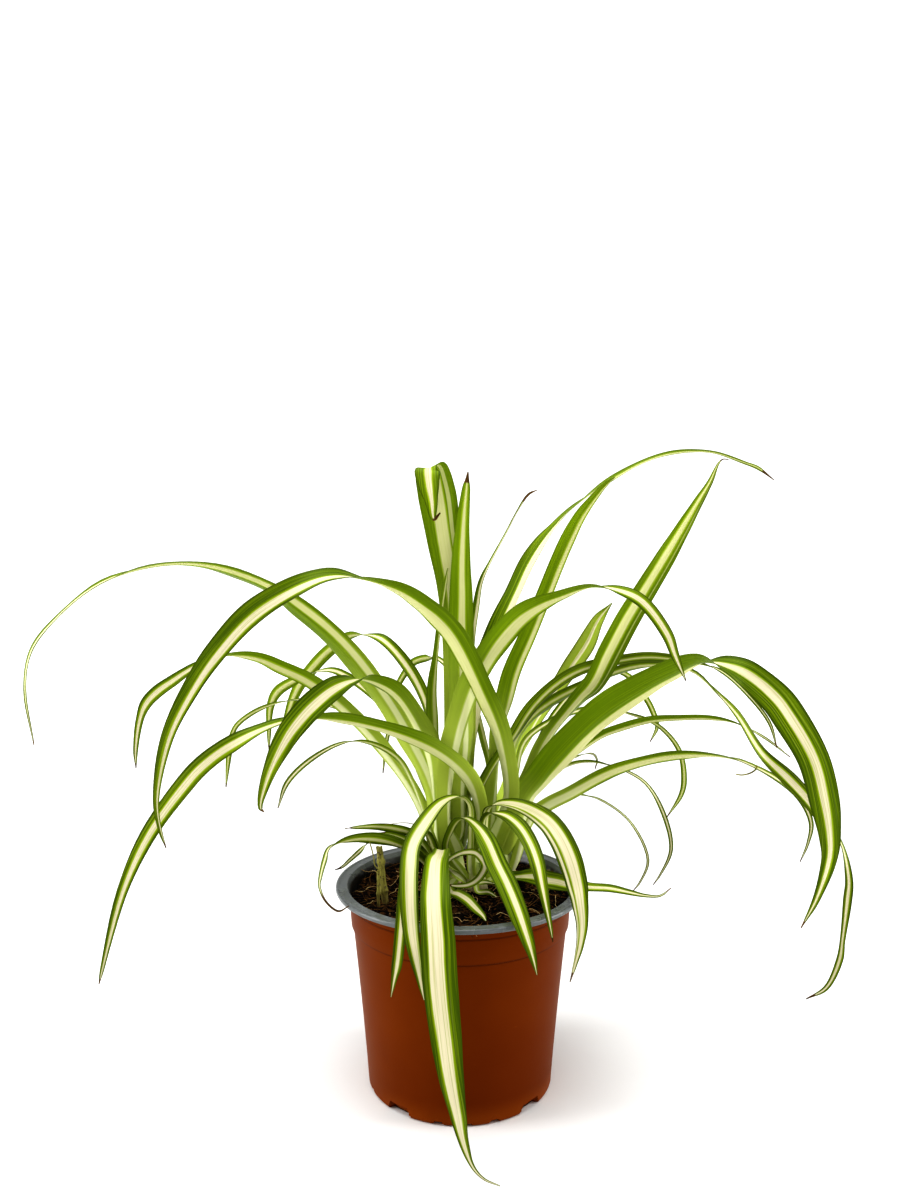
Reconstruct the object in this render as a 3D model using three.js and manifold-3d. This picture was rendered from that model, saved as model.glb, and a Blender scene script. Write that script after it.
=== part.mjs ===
// A potted spider plant: a thermoformed nursery pot, its soil, three leaf shoots and their strap leaves.
// Millimetres, +Z up. The origin is the middle of the pot's foot, and the viewer stands towards -Y.
import * as THREE from "three";
import { mergeVertices } from "three/addons/utils/BufferGeometryUtils.js";
import Module from "manifold-3d";

const wasm = await Module();
wasm.setup();

// Driving dimensions
const pot = {
  rimRadius: 60,
  height: 98.6,
  lipWidth: 5.8,
  lipHeight: 2.4,
  wall: 1.2,
  collarDrop: 19.6,
  collarStep: 1,
  bodyTopRadius: 53.6,
  collarFootRadius: 51.6,
  bow: 1.15,
  footRadius: 44.6,
  footHeight: 3.2,
  footFlatRadius: 40.1,
  floor: 1.6,
  floorBend: 3.5,
  sides: 44,
};
const notch = { count: 4, turn: 0.873, radius: 7, taper: 0.8, length: 6.4, squash: 0.46, height: 1.2 };
const soil = { top: 93, relief: 1.3, clearance: 0.35, rings: 7 };
const gap = 0.3; // left between a root and the plain hole it stands in
const leafThickness = 0.7;
const stepsPerSpan = 1.5; // stations between two points of a leaf's route
const holeStations = 4; // how many of them a root's hole follows
const rootSink = 2.3;
const rootWidth = 2.8;
const neck = { out: 0.8, rise: 4.5 }; // where a leaf leaves its stem
const fullShare = 0.34; // how far along a leaf is widest
const tipPower = 1.7;
const leastWidth = 1;
const fold = { atRoot: 0.26, inBlade: 0.1, reach: 1.6 }; // how far the edges rise, per width

// The shoots' short sheathed stems. Each one stands in the soil and carries its leaves.
const shoots = {
  left: { x: -5, y: 18, radius: 8.5, height: 25 },
  right: { x: 20, y: 24, radius: 8.5, height: 24 },
  front: { x: 8, y: 3, radius: 5.5, height: 13 },
};
const crownDepth = 12;
const crownSides = 14;
const crownTaper = { drop: 0.62, power: 1.5 };

// Leaf routes are written as they look from the front: mm across and up on an upright sheet that
// stands in front of the eye, and mm behind the pot's middle. The fourth number is how wide the
// blade looks there, below zero where its underside faces the viewer.
const eye = { x: -4.85, y: -504.9, z: 283.5, tilt: 5.435, sheet: 536 };

// root: the side of the shoot that the leaf leaves, in degrees from +X, and its height on the shoot.
// creased: the blade lies flat and bends straight over, where others turn on their length.
const leaves = {
  "left_leaf_1": {"shoot": "right", "root": [235, 10], "width": 12.5, "route": [
    [28.5, -100, 10, -7], [25, -70, 2, -9.5], [15, -45, -7, -11], [2.5, -20, -14, -11.5],
    [-5, -10.8, -18, -12], [-15, -2.5, -22, -9], [-25, 4, -25, -6], [-42.5, 10, -31, -2],
    [-60, 12, -37, 7.5], [-80, 5.3, -44, 10.5], [-99.3, -6.5, -50, 12.5], [-117, -25.6, -55, 11],
    [-130, -45, -59, 9], [-141.5, -69, -62, 6.5], [-147, -100, -64, 3], [-145, -115, -64, 2],
    [-142, -124, -64, 0.6]]},
  "left_leaf_2": {"shoot": "left", "root": [202, 13], "width": 12.5, "route": [
    [-10.5, -95, 14, -8], [-23.3, -68.3, 13.5, -10], [-33.4, -51, 12, -10.5], [-56, -22.2, 9, -11],
    [-75.8, -5.2, 6, -9], [-92.8, 6.2, 3, -6], [-122.5, 16.3, -2, -3], [-145, 17, -5, -1],
    [-174.5, 8.2, -8, 1.5], [-198.3, -10.9, -10, 1.5], [-209.4, -26, -11, 1.5], [-212.4, -45, -12, 1.5],
    [-208, -72.5, -13, 0.6]]},
  "left_leaf_3": {"shoot": "left", "root": [174, 9], "width": 8, "route": [
    [-16, -101, 20.5, -6], [-38.5, -68.7, 19.5, -7.5], [-67.5, -42.2, 12, -7.5], [-85, -33.6, 9, -7],
    [-97.5, -28.8, 6, -4.5], [-114, -28.2, 3, -1], [-129.5, -34.5, 0, 4.5], [-139, -40.6, -1.5, 6],
    [-146.4, -45.8, -3, 6.5], [-151.9, -51.6, -4, 6], [-155, -59.3, -5, 4], [-157.2, -75, -6, 2.5],
    [-157, -84, -6, 0.6]]},
  "left_leaf_4": {"shoot": "left", "root": [228, 10], "width": 14, "route": [
    [-7, -108, 7.5, -5], [-10.5, -76.5, 6, -9], [-15.5, -64, 5, -10], [-28, -46.2, -4, -9],
    [-42.5, -39.8, -14, -4.5], [-49.7, -40.8, -19, 5.5], [-59.2, -44.8, -24, 12], [-68.1, -51.8, -28, 13.5],
    [-75.6, -59.8, -31, 13], [-82.6, -69.7, -34, 11.5], [-91.6, -89.3, -37, 6], [-94.8, -104, -38, 2],
    [-93, -106, -38, 0.6]]},
  "left_leaf_5": {"shoot": "front", "root": [60, 6], "width": 10, "route": [
    [15, -122, 9, -4], [14, -102.5, 6, -7], [8.5, -88.5, 0, -9], [-5, -76.5, -5, -8.5],
    [-25, -67.5, -9, -7], [-50, -61, -12, -5.5], [-70, -59.5, -15, -2], [-87.5, -62.5, -18, 4],
    [-111.8, -73.6, -26, 9], [-124.3, -82.8, -32, 9.5], [-133.5, -93, -37, 9.5], [-151, -117.5, -47, 8],
    [-164, -146, -54, 5.5], [-174, -185, -58, 2], [-175.5, -192, -58, 0.6]]},
  "left_leaf_6": {"shoot": "left", "root": [246, 6], "width": 3.5, "route": [
    [-12, -110, 5, -1.5], [-19, -91, 3, -2.5], [-27, -78.5, 0, -3], [-42.5, -71, -3, -2],
    [-55, -72, -5, 1.5], [-70, -80, -7, 2.8], [-81.5, -91.5, -8, 2.8], [-86, -104, -8, 0.6]]},
  "left_leaf_7": {"shoot": "left", "root": [122, 15], "width": 7.5, "route": [
    [-7, -80, 37.5, 4], [-12.3, -52, 39.5, 5], [-21, -34, 43.5, 6.5], [-33.6, -20.2, 45, 5],
    [-42, -17.7, 51, 1], [-50, -18, 54.5, -4], [-60, -25, 60.5, -6.5], [-67.5, -32.5, 64, -6.5],
    [-76.5, -45, 68, -5.5], [-82.5, -62.5, 72, -3], [-85, -75, 72, -0.6]]},
  "left_leaf_8": {"shoot": "left", "root": [136, 6], "width": 6, "route": [
    [-9, -106, 29.5, 3], [-13.5, -93, 32, 3], [-30, -57.5, 33, 3.5], [-55, -36.5, 34, 4],
    [-64, -35.5, 32, 2], [-78.2, -40.6, 35.5, -5], [-86.2, -45.8, 37.5, -5.5], [-89.8, -53.2, 39.5, -4],
    [-90.5, -67.5, 39.5, -2], [-90.5, -75, 39.5, -0.6]]},
  "left_leaf_9": {"shoot": "left", "root": [160, 3], "width": 5, "route": [
    [-14, -107, 25.8, 2], [-19, -92, 27.8, 2], [-35, -70, 26.5, 2.5], [-52.5, -56, 26, 2.5],
    [-62.5, -52.5, 26, 2], [-75, -50, 24, 1], [-92.5, -53.5, 24, -2], [-105, -61, 24, -2.5],
    [-108.5, -66, 24, -2.5], [-110.5, -77.5, 24, -3], [-112, -93.5, 24, -0.6]]},
  "left_leaf_10": {"shoot": "left", "root": [88, 10], "width": 4.5, "route": [
    [0, -90, 35.5, 2], [0, -36, 43.5, 3], [-7, -29, 45, 2.5], [-11.5, -29, 51, -4], [-18, -31, 54.5, -4],
    [-22.5, -36.5, 58.5, -3.5], [-26.5, -44, 60.5, -3], [-28.5, -55, 62.5, -2.5], [-32, -72.5, 64, -2],
    [-33.5, -86.5, 64, -0.6]]},
  "top_leaf_1": {"shoot": "left", "root": [75, 18], "width": 16, "creased": 1, "route": [
    [4, -90, 20.4, -11], [5, -50, 21, -13], [3.8, -20, 19, -14], [0.8, 8, 17, -15], [-3, 30, 14, -17],
    [-6, 50, 11, -19.5], [-8, 60, 8, -18.5], [-9.6, 65.6, 4.5, -16.5], [-11.2, 65.2, 0.5, 14],
    [-10.6, 57, -2.5, 10.5], [-9.3, 49, -3.5, 6.5], [-7.9, 40.6, -4, 2.4], [-4.9, 43.6, -4.5, 0.8]]},
  "top_leaf_2": {"shoot": "left", "root": [-15, 18], "width": 13, "route": [
    [6, -95, 13, -8], [7.5, -70, 12, -11], [6, -45, 12, -12], [5.5, -20, 11, -13], [5.5, 0, 10, -12],
    [5.5, 20, 9, -9.5], [6.5, 40, 8, -6.5], [8, 55, 7, -4.5], [9, 64, 7, -0.8]]},
  "top_leaf_3": {"shoot": "left", "root": [165, 19], "width": 6, "route": [
    [-7, -90, 19, -3], [-8.8, -62.5, 18, -6.5], [-9, -45, 16.5, -5], [-7, -27.5, 14, -2.5],
    [-4.5, -5, 12, -2.5], [-2.5, 8, 11, -2], [-1, 16, 11, -0.6]]},
  "top_leaf_4": {"shoot": "right", "root": [165, 12], "width": 3.5, "route": [
    [20, -85, 32, 2.5], [16, -67.5, 32, 3.5], [12, -50, 34, 3.5], [10.5, -25, 35.5, 3.5],
    [13, -3, 35.5, 3.5], [15.4, 9.4, 35.5, 2.4], [19.5, 18, 35.5, 1.3], [28.4, 34.4, 35.5, 0.9],
    [33.1, 43.6, 35.5, 0.8], [39.2, 52.8, 35.5, 1.5], [43.5, 55, 35.5, 0.5]]},
  "right_leaf_1": {"shoot": "left", "root": [-65, 10], "width": 13, "route": [
    [-0.5, -115, 4.5, -6], [-0.5, -90, 2, -9], [2.5, -70, 1, -11], [10, -45, 0, -12],
    [17.5, -30, -1, -12.5], [25, -19, -3, -13], [35, -8.5, -6, -11.5], [45, -2.5, -9, -9],
    [55, 1.5, -13, -6], [71, 6.4, -17, -1.2], [86.3, 4, -20, 5], [96.3, -0.9, -23, 6.5],
    [108.5, -17, -25, 6], [112.5, -27.5, -25, 4.5], [118, -40.5, -25, 0.6]]},
  "right_leaf_2": {"shoot": "right", "root": [-45, 10], "width": 16, "route": [
    [37.5, -100, 12, -12], [45, -90, 10, -13], [55, -77.5, 8, -15], [75, -58, 4, -15], [95, -45, -1, -14],
    [110, -37.2, -5, -11], [125, -31.3, -9, -5], [138.3, -33.3, -13, 8], [149.8, -38.2, -17, 14],
    [163.2, -49.6, -21, 16.5], [170, -59, -24, 17], [181.6, -79.3, -28, 15.5], [187, -99.6, -31, 15],
    [190, -120, -33, 10], [189.5, -130, -34, 7.5], [183, -150, -36, 3.5], [175.5, -164, -37, 0.6]]},
  "right_leaf_3": {"shoot": "right", "root": [-12, 13], "width": 11.5, "route": [
    [33.5, -102.5, 19, -5], [41.5, -86, 18, -6], [50, -68.5, 17, -6], [65, -50, 16, -7],
    [72, -42.5, 15, -10], [79.5, -27.5, 14, -12.5], [88.8, -9.8, 13, -12], [97.5, 4.5, 12, -11],
    [107.3, 20.5, 11, -10], [116.2, 35.5, 10, -7.5], [124, 48.8, 9, -5], [130.2, 59.3, 8, -2.8],
    [134.4, 68.5, 8, -1], [136.5, 70.4, 8, -0.6], [139.3, 70.2, 8, -0.5]]},
  "right_leaf_4": {"shoot": "right", "root": [200, 17], "width": 9.5, "route": [
    [23.5, -80, 21, -4], [24.5, -65, 21, -7], [27.5, -50, 21, -9], [31.3, -35, 21, -9],
    [38.8, -17.5, 21, -8.5], [46.2, 0.3, 21, -8], [53.7, 18.9, 21, -7.7], [58.8, 30.4, 21, -7.5],
    [65, 42, 21, -6], [71.9, 51.2, 21, -4], [77.5, 57.5, 21, -2.5], [82.5, 61.5, 21, -0.6]]},
  "right_leaf_5": {"shoot": "left", "root": [30, 12], "width": 11, "route": [
    [10.5, -85, 27.6, 5], [13, -51, 28.5, 8.5], [16.3, -33.5, 29, 9.5], [21.5, -21, 29, 10],
    [26.6, -8.5, 30, 9], [32.6, 4.2, 32, 8], [39, 18, 34, 7], [46, 29, 35.5, 6], [53.4, 38, 37.5, 3],
    [60.8, 45.5, 39.5, 1], [78, 58.2, 43.5, -2.5], [95, 68, 47, -2.5], [107.5, 72.5, 49, -2],
    [120, 74.2, 51, -1.7], [132.5, 73.5, 53, -1.5], [147.5, 68.5, 54.5, -1.5], [154, 66, 54.5, -2],
    [162, 60, 54.5, -0.5]]},
  "right_leaf_6": {"shoot": "right", "root": [32, 11], "width": 7.5, "route": [
    [32, -75.5, 32, -4], [38.6, -62.3, 30, -4.5], [48.4, -53.4, 30, -5], [68, -42.8, 29, -4.5],
    [95, -33.5, 27, -3.5], [120, -35.5, 22, -1], [135, -48.5, 17, 1.5], [143.4, -57.8, 14, 3],
    [155.4, -76.2, 10, 5], [168.8, -88.8, 7, 8], [178.4, -99.2, 5, 7.5], [190, -115, 2, 4],
    [195, -121, 0, 0.8], [199.5, -140, -4, 4], [198.8, -150, -5, 4.5], [196.3, -170, -8, 2.5],
    [194.8, -180, -9, 3.5], [188, -194, -10, 2.5], [178, -199.5, -11, 0.6]]},
  "right_leaf_7": {"shoot": "right", "root": [205, 4], "width": 7, "route": [
    [14, -100, 15, -3], [20, -86, 14.5, -4], [31.8, -68.3, 16, -5], [41, -54, 18, -6],
    [53.3, -42.1, 19.5, -6], [65.5, -35, 20, -5.5], [80, -31.2, 20, -5], [100, -28.5, 19.5, -5],
    [125, -32, 18, -2], [135, -35.5, 17, 2], [147.5, -46, 15, 2], [159.5, -61, 13, 2],
    [163.5, -74, 12, 0.6]]},
  "right_leaf_8": {"shoot": "right", "root": [-33, 1], "width": 7.5, "route": [
    [40, -110, 20, -6], [47.5, -103.4, 21, -7], [60.3, -97, 21, -7], [75, -89, 21, -6.5],
    [85, -84.8, 21, -6], [105, -79.5, 23, -5], [120, -78, 24, -4], [135, -78.5, 25, -1.5],
    [147.5, -81.5, 26, 2], [172.5, -96.5, 27, 3], [180.5, -111, 27, 2.5], [179, -121.5, 27, 1.5],
    [175, -131, 27, 0.5]]},
  "right_leaf_9": {"shoot": "right", "root": [22, 6], "width": 5, "route": [
    [45, -92, 43.5, -3], [55, -82.5, 45, -3.5], [75, -68, 45, -4], [85, -64, 45, -4], [100, -60, 45, -3.5],
    [115, -59, 45, -3], [130, -59, 45, -2.5], [142.5, -61.5, 45, -1], [157.5, -69, 45, 1.5],
    [170, -78.5, 45, 0.5]]},
  "right_leaf_10": {"shoot": "right", "root": [90, 11], "width": 4, "route": [
    [35, -100, 60.5, 2], [47.5, -65, 79.5, 3], [62.5, -45, 85, 3], [75, -36.5, 87, 2.5],
    [87.5, -37, 87, -3], [97.5, -48.5, 87, -3], [101.5, -56, 87, -3], [103.5, -63.5, 87, -2],
    [100, -71, 87, -0.5]]},
  "right_leaf_11": {"shoot": "right", "root": [60, 6], "width": 4, "route": [
    [33.5, -87.5, 39.5, 2.5], [37.5, -71, 45, 3], [50, -61, 51, 3], [62.5, -56, 54.5, 3],
    [73.5, -54, 56.5, 2], [87.5, -56.5, 58.5, -1], [103.5, -62.5, 58.5, -2], [114.5, -75, 58.5, -2.5],
    [117, -90, 58.5, -3], [115.5, -97.5, 58.5, -2.5], [108.5, -108.5, 56.5, -0.5]]},
  "right_leaf_12": {"shoot": "right", "root": [0, 4], "width": 3.2, "route": [
    [40, -102.5, 31, -1.5], [52.5, -87.5, 31, -1.5], [60, -82.5, 30, -2], [70, -81, 32, -1.5],
    [83.5, -84, 34, 1], [97.5, -91.5, 35.5, 1.5], [107, -107.5, 37.5, 2.5], [110.5, -125, 37.5, 2],
    [105, -137.5, 37.5, 1], [101.5, -142.5, 37.5, 0.5]]},
  "right_leaf_13": {"shoot": "right", "root": [-2, 0.5], "width": 2.5, "route": [
    [40, -107.5, 27, -1], [55, -97.5, 27.5, -1], [65, -97.5, 27, -1], [75, -100, 28, 1],
    [90, -111, 29, 1.2], [99, -130, 29, 1.5], [95, -141, 29, 1], [91.5, -145.5, 29, 0.5]]},
  "right_leaf_14": {"shoot": "right", "root": [42, 0.5], "width": 2, "route": [
    [42, -98, 51, -1], [55, -83, 53, -1.2], [62.5, -78.5, 53, -1.2], [71.5, -77, 54.5, 1.2],
    [73.5, -80, 54.5, 1], [72.5, -84.5, 54.5, 0.5]]},
  "right_leaf_15": {"shoot": "front", "root": [-5, 0.5], "width": 8, "route": [
    [32, -139, -1, 4], [37.5, -138.5, -6, 7], [43, -138.5, -11, 8.5], [48.5, -140, -15, 9],
    [54, -141, -18, 8.5], [61, -143, -22, 7], [70, -144, -25, 4.5], [80, -144.5, -28, 4],
    [90, -146.5, -30, 2.5], [97.5, -148, -31, 1.5], [105, -148, -32, 1], [110.5, -144, -32, 0.5]]},
  "right_leaf_16": {"shoot": "right", "root": [120, 15], "width": 9.5, "route": [
    [29, -95, 51, 4], [35, -77.5, 60.5, 5], [43.3, -60.3, 66, 6], [55.8, -40.4, 68, 8], [60.7, -33, 68, 9],
    [68, -22, 68, 9.5], [74, -10, 68, 6], [81, -1.5, 68, 0.6]]},
  "front_leaf_1": {"shoot": "front", "root": [235, 6], "width": 6, "route": [
    [10, -112, -6, -3], [9.5, -103, -9, -3], [6, -99, -13, -2], [0, -99.5, -20, 3], [-6, -103, -28, 6],
    [-12.5, -111, -37, 8], [-19, -122.5, -47, 9], [-20.5, -135, -56, 9.5], [-20.5, -150, -64, 9.5],
    [-19.5, -165, -69, 8.5], [-18, -175, -72, 7], [-14.5, -192.5, -75, 3], [-13, -200, -76, 0.6]]},
  "front_leaf_2": {"shoot": "left", "root": [272, 1.6], "width": 6, "creased": 1, "route": [
    [-5, -136, 1, -4], [-5, -129.5, -8, -5], [-4.4, -126.5, -18, -7.5], [-4, -125.3, -28, 8],
    [-5, -127.8, -41, 9], [-6.6, -132, -55, 12], [-7.3, -150, -71, 15.5], [-6, -170, -80, 17.5],
    [-5, -190, -86, 18], [-2, -218.5, -92, 16], [0.5, -238, -96, 13], [4, -257, -98, 8.5],
    [7, -271.5, -100, 5], [11.5, -283.5, -101, 2], [17, -289.5, -101, 1.2], [25, -293, -101, 0.6]]},
  "front_leaf_3": {"shoot": "front", "root": [185, 3], "width": 5, "route": [
    [-1.5, -125, -1, -3], [1, -115, -7, -4], [4, -110.5, -12, -3], [8, -109.5, -19, 2], [14, -114, -27, 6],
    [18.5, -121, -34, 10], [23.5, -132.5, -42, 11], [28.5, -142.5, -49, 11], [34, -156, -57, 10],
    [38.5, -169, -63, 7], [41.5, -179, -66, 4], [43.5, -187.5, -68, 0.6]]},
  "front_leaf_4": {"shoot": "front", "root": [-35, 5], "width": 5, "route": [
    [17, -111, -4, -3], [20, -107, -9, -2], [24, -107, -15, 4], [29, -108.5, -21, 6], [35, -113.5, -28, 8],
    [40, -121.5, -35, 8], [43.5, -131, -42, 8], [46, -142.5, -48, 6], [48, -152.5, -53, 4],
    [50, -162.5, -57, 2.5], [51.5, -171, -60, 0.6]]},
  "front_leaf_5": {"shoot": "front", "root": [0, 8], "width": 6, "route": [
    [19, -106, 2, -3], [23, -102.5, -3, 3], [32.5, -102.5, -12, 6], [40, -105, -18, 8], [49, -111, -25, 11],
    [55, -119, -31, 12], [60, -130, -37, 12.5], [63.5, -142.5, -42, 11], [65, -151.5, -46, 8.5],
    [66, -162.5, -49, 6], [65, -172.5, -52, 4], [62.5, -182.5, -54, 2], [60, -191, -55, 0.6]]},
  "front_leaf_6": {"shoot": "left", "root": [247, -0.6], "width": 5, "route": [
    [-11, -118, 1, -2], [-15.5, -117, -11, 2], [-19, -125, -28, 4], [-23, -142.5, -44, 5],
    [-24.5, -162.5, -57, 6], [-26.5, -182, -62, 5.5], [-28, -190, -63, 3], [-29.5, -198.5, -64, 0.6]]},
  "front_leaf_7": {"shoot": "front", "root": [200, 0.5], "width": 4, "route": [
    [-1, -132, -6, 2], [2.5, -128.5, -9, 2.5], [7.5, -126.5, -12, 3], [12.5, -126.5, -13, 3.5],
    [16, -129.5, -14, 4], [17.5, -133, -15, 4], [16, -137, -15, 4], [13, -140.5, -14, 3.5],
    [9, -142.5, -13, 3], [4, -143, -12, 2.5], [-1, -142.5, -11, 1]]},
  "front_leaf_8": {"shoot": "left", "root": [292, -1.6], "width": 6, "route": [
    [-1, -143, -3, 3], [1, -146.5, -13, 4.5], [4, -147.3, -17, 5.5], [8.5, -150, -24, 6.2],
    [12.5, -154, -31, 5.4], [16.5, -158, -37, 3.2], [18, -160.5, -40, 0.8]]},
  "low_leaf_1": {"shoot": "left", "root": [216, -0.8], "width": 7, "route": [
    [-20, -125.5, -4, -5.5], [-35, -120, -17, -6.5], [-50, -120, -22, -4], [-60, -124, -25, 1.5],
    [-62.3, -130, -26, 3], [-64.5, -138.5, -28, 2], [-65, -143, -29, 1.2], [-62, -150.5, -31, 1],
    [-56, -155.5, -33, 1], [-50.5, -153, -37, 0.6]]},
  "low_leaf_2": {"shoot": "left", "root": [190, 5], "width": 5.5, "route": [
    [-17.5, -118, 11, -4], [-27.5, -114.6, 9.5, -4.7], [-37.5, -113.4, 8, -3], [-47.5, -113.8, 7, -1.6],
    [-52.5, -114.3, 6, 0.6]]},
  "low_leaf_3": {"shoot": "left", "root": [205, 2.8], "width": 5.5, "route": [
    [-18, -122.5, 7, -4], [-24, -119.3, 5, -4.5], [-30, -117.3, 3, -3], [-36, -116.6, 1, -0.8]]},
  "low_leaf_4": {"shoot": "left", "root": [184, -0.8], "width": 3, "route": [
    [-17.5, -127, 12, -1.5], [-27.5, -122.5, 11, -2], [-39, -120.5, 9, -2], [-45, -125.5, 7, 2.5],
    [-50, -130, 5, 2], [-54, -133.5, 3, 1.4], [-57.5, -135, 1, 0.5]]},
  "young_leaf_1": {"shoot": "front", "root": [-95, 0.5], "width": 3, "route": [
    [14, -146, -8, 2.4], [19, -146, -10, 3], [23.5, -148.5, -14, 0.8]]},
  "young_leaf_2": {"shoot": "front", "root": [-64, 2.8], "width": 2.6, "route": [
    [13.5, -141.5, -6, 2], [17.5, -141, -9, 2.8], [22, -141.8, -13, 0.8]]},
};

// Two dried stem stumps stand at the left, each from its foot in the soil to its cut end.
const stubs = {
  stem_stub_1: { foot: [-33.9, -14, 84], end: [-38.5, -13.5, 120], radius: 1.8 },
  stem_stub_2: { foot: [-37.7, -18.5, 86], end: [-38.7, -18.5, 110], radius: 0.8 },
};

// Colours and finishes
const finishes = {
  terracotta: { color: 0x8a3d14, roughness: 0.42, metalness: 0 },
  soil: { color: 0x2a1a0e, roughness: 0.95, metalness: 0 },
  sheath: { color: 0xb9c47e, roughness: 0.5, metalness: 0 },
  leaf: { color: 0x5c8a1e, roughness: 0.42, metalness: 0 },
  darkLeaf: { color: 0x3a6a16, roughness: 0.42, metalness: 0 },
  stub: { color: 0x8a8a3a, roughness: 0.7, metalness: 0 },
};

const group = new THREE.Group();

function addPiece(name, geometry, finish) {
  const mesh = new THREE.Mesh(geometry, new THREE.MeshStandardMaterial(finishes[finish]));
  mesh.name = name;
  group.add(mesh);
}

// Closed meshes turned into solids, and back
function solidOf(geometry) {
  const bare = geometry.clone();
  bare.deleteAttribute("normal");
  bare.deleteAttribute("uv");
  const merged = mergeVertices(bare, 1e-4);
  return new wasm.Manifold(
    new wasm.Mesh({
      numProp: 3,
      vertProperties: merged.attributes.position.array,
      triVerts: new Uint32Array(merged.index.array),
    }),
  );
}

function geometryOf(solid) {
  const mesh = solid.getMesh();
  const geometry = new THREE.BufferGeometry();
  geometry.setAttribute("position", new THREE.BufferAttribute(mesh.vertProperties, 3));
  geometry.setIndex(new THREE.BufferAttribute(mesh.triVerts, 1));
  return geometry;
}

// Three.js turns a lathe about Y, and the plant's axis is Z.
function turned(points, sides) {
  const profile = points.map(([radius, height]) => new THREE.Vector2(radius, height));
  return new THREE.LatheGeometry(profile, sides).rotateX(Math.PI / 2);
}

// The radius of the pot's outside at a height: a slightly bowed body under a wider collar.
function bodyRadius(height) {
  const collarFoot = pot.height - pot.collarDrop;
  const low = Math.min(height / collarFoot, 1);
  const bowed = pot.footRadius + (pot.collarFootRadius - pot.footRadius) * Math.pow(low, pot.bow);
  if (height < collarFoot) return bowed;
  const high = (height - collarFoot) / (pot.collarDrop - pot.lipHeight);
  return bowed + pot.collarStep + (pot.bodyTopRadius - bowed - pot.collarStep) * high;
}

// The pot's inside from its floor to its lip, which the soil fills with a little clearance.
const bodyHeights = [pot.footHeight, 25, 53, pot.height - pot.collarDrop - 0.6];
const insideProfile = [
  [pot.footRadius - pot.wall - pot.floorBend, pot.floor],
  ...bodyHeights.map((height) => [bodyRadius(height) - pot.wall, height]),
  [pot.bodyTopRadius - pot.wall, pot.height - pot.lipHeight],
  [pot.rimRadius - pot.lipWidth, pot.height - 0.4],
];

function insideRadius(height) {
  const above = insideProfile.findIndex((point) => point[1] > height);
  const [lowRadius, lowHeight] = insideProfile[above - 1];
  const [highRadius, highHeight] = insideProfile[above];
  return lowRadius + ((highRadius - lowRadius) * (height - lowHeight)) / (highHeight - lowHeight);
}

function makePot() {
  const lipFoot = pot.height - pot.lipHeight;
  const collarEdge = pot.height - pot.collarDrop + 0.6;
  const outside = bodyHeights.map((height) => [bodyRadius(height), height]);
  const profile = [
    [0, 0],
    [pot.footFlatRadius, 0],
    [pot.footRadius - 1.4, 0.7],
    ...outside,
    [bodyRadius(collarEdge), collarEdge],
    [pot.bodyTopRadius, lipFoot],
    [pot.rimRadius - 0.7, lipFoot],
    [pot.rimRadius, lipFoot + 0.8],
    [pot.rimRadius, pot.height - 0.8],
    [pot.rimRadius - 0.9, pot.height],
    [pot.rimRadius - pot.lipWidth + 1, pot.height],
    ...insideProfile.slice().reverse(),
    [0, pot.floor],
  ];
  let solid = solidOf(turned(profile, pot.sides));
  // Drain notches round the foot, cut up from below through the wall's lower bend
  for (let i = 0; i < notch.count; i += 1) {
    const angle = (i / notch.count) * 2 * Math.PI + notch.turn;
    const cutter = new THREE.CylinderGeometry(
      notch.radius - notch.taper / 2,
      notch.radius + notch.taper / 2,
      notch.length,
      12,
    );
    cutter.rotateX(Math.PI / 2);
    cutter.scale(notch.squash, 1, 1);
    cutter.rotateZ(angle);
    cutter.translate(pot.footRadius * Math.cos(angle), pot.footRadius * Math.sin(angle), notch.height);
    solid = solid.subtract(solidOf(cutter));
  }
  return geometryOf(solid);
}

// The soil's top is a ring grid with gentle lumps, close under the rim.
function makeSoil() {
  const rings = soil.rings;
  const sides = pot.sides;
  const floor = pot.floor + gap;
  const edge = insideRadius(soil.top) - soil.clearance;
  const points = [];
  const faces = [];
  const lump = (x, y) =>
    soil.relief *
    (0.5 * Math.sin(x * 0.31 + 1.3) * Math.cos(y * 0.27) + 0.5 * Math.sin(x * 0.13 - y * 0.22 + 0.4));
  points.push([0, 0, soil.top + lump(0, 0)]);
  for (let ring = 1; ring <= rings; ring += 1) {
    const radius = (edge * ring) / rings;
    for (let side = 0; side < sides; side += 1) {
      const angle = (side / sides) * 2 * Math.PI;
      const x = radius * Math.cos(angle);
      const y = radius * Math.sin(angle);
      points.push([x, y, soil.top + lump(x, y)]);
    }
  }
  const bottom = insideProfile
    .filter(([, height]) => height < soil.top - soil.relief)
    .reverse()
    .map(([radius, height]) => [radius - soil.clearance, Math.max(height, floor)]);
  for (const [radius, height] of bottom) {
    for (let side = 0; side < sides; side += 1) {
      const angle = (side / sides) * 2 * Math.PI;
      points.push([radius * Math.cos(angle), radius * Math.sin(angle), height]);
    }
  }
  points.push([0, 0, floor]);
  const at = (ring, side) => 1 + (ring - 1) * sides + (side % sides);
  const last = rings + bottom.length;
  for (let side = 0; side < sides; side += 1) {
    faces.push(0, at(1, side), at(1, side + 1));
    for (let ring = 1; ring < last; ring += 1) {
      faces.push(at(ring, side), at(ring + 1, side), at(ring + 1, side + 1));
      faces.push(at(ring, side), at(ring + 1, side + 1), at(ring, side + 1));
    }
    faces.push(points.length - 1, at(last, side + 1), at(last, side));
  }
  const geometry = new THREE.BufferGeometry();
  geometry.setAttribute("position", new THREE.Float32BufferAttribute(points.flat(), 3));
  geometry.setIndex(faces);
  return solidOf(geometry);
}

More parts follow.
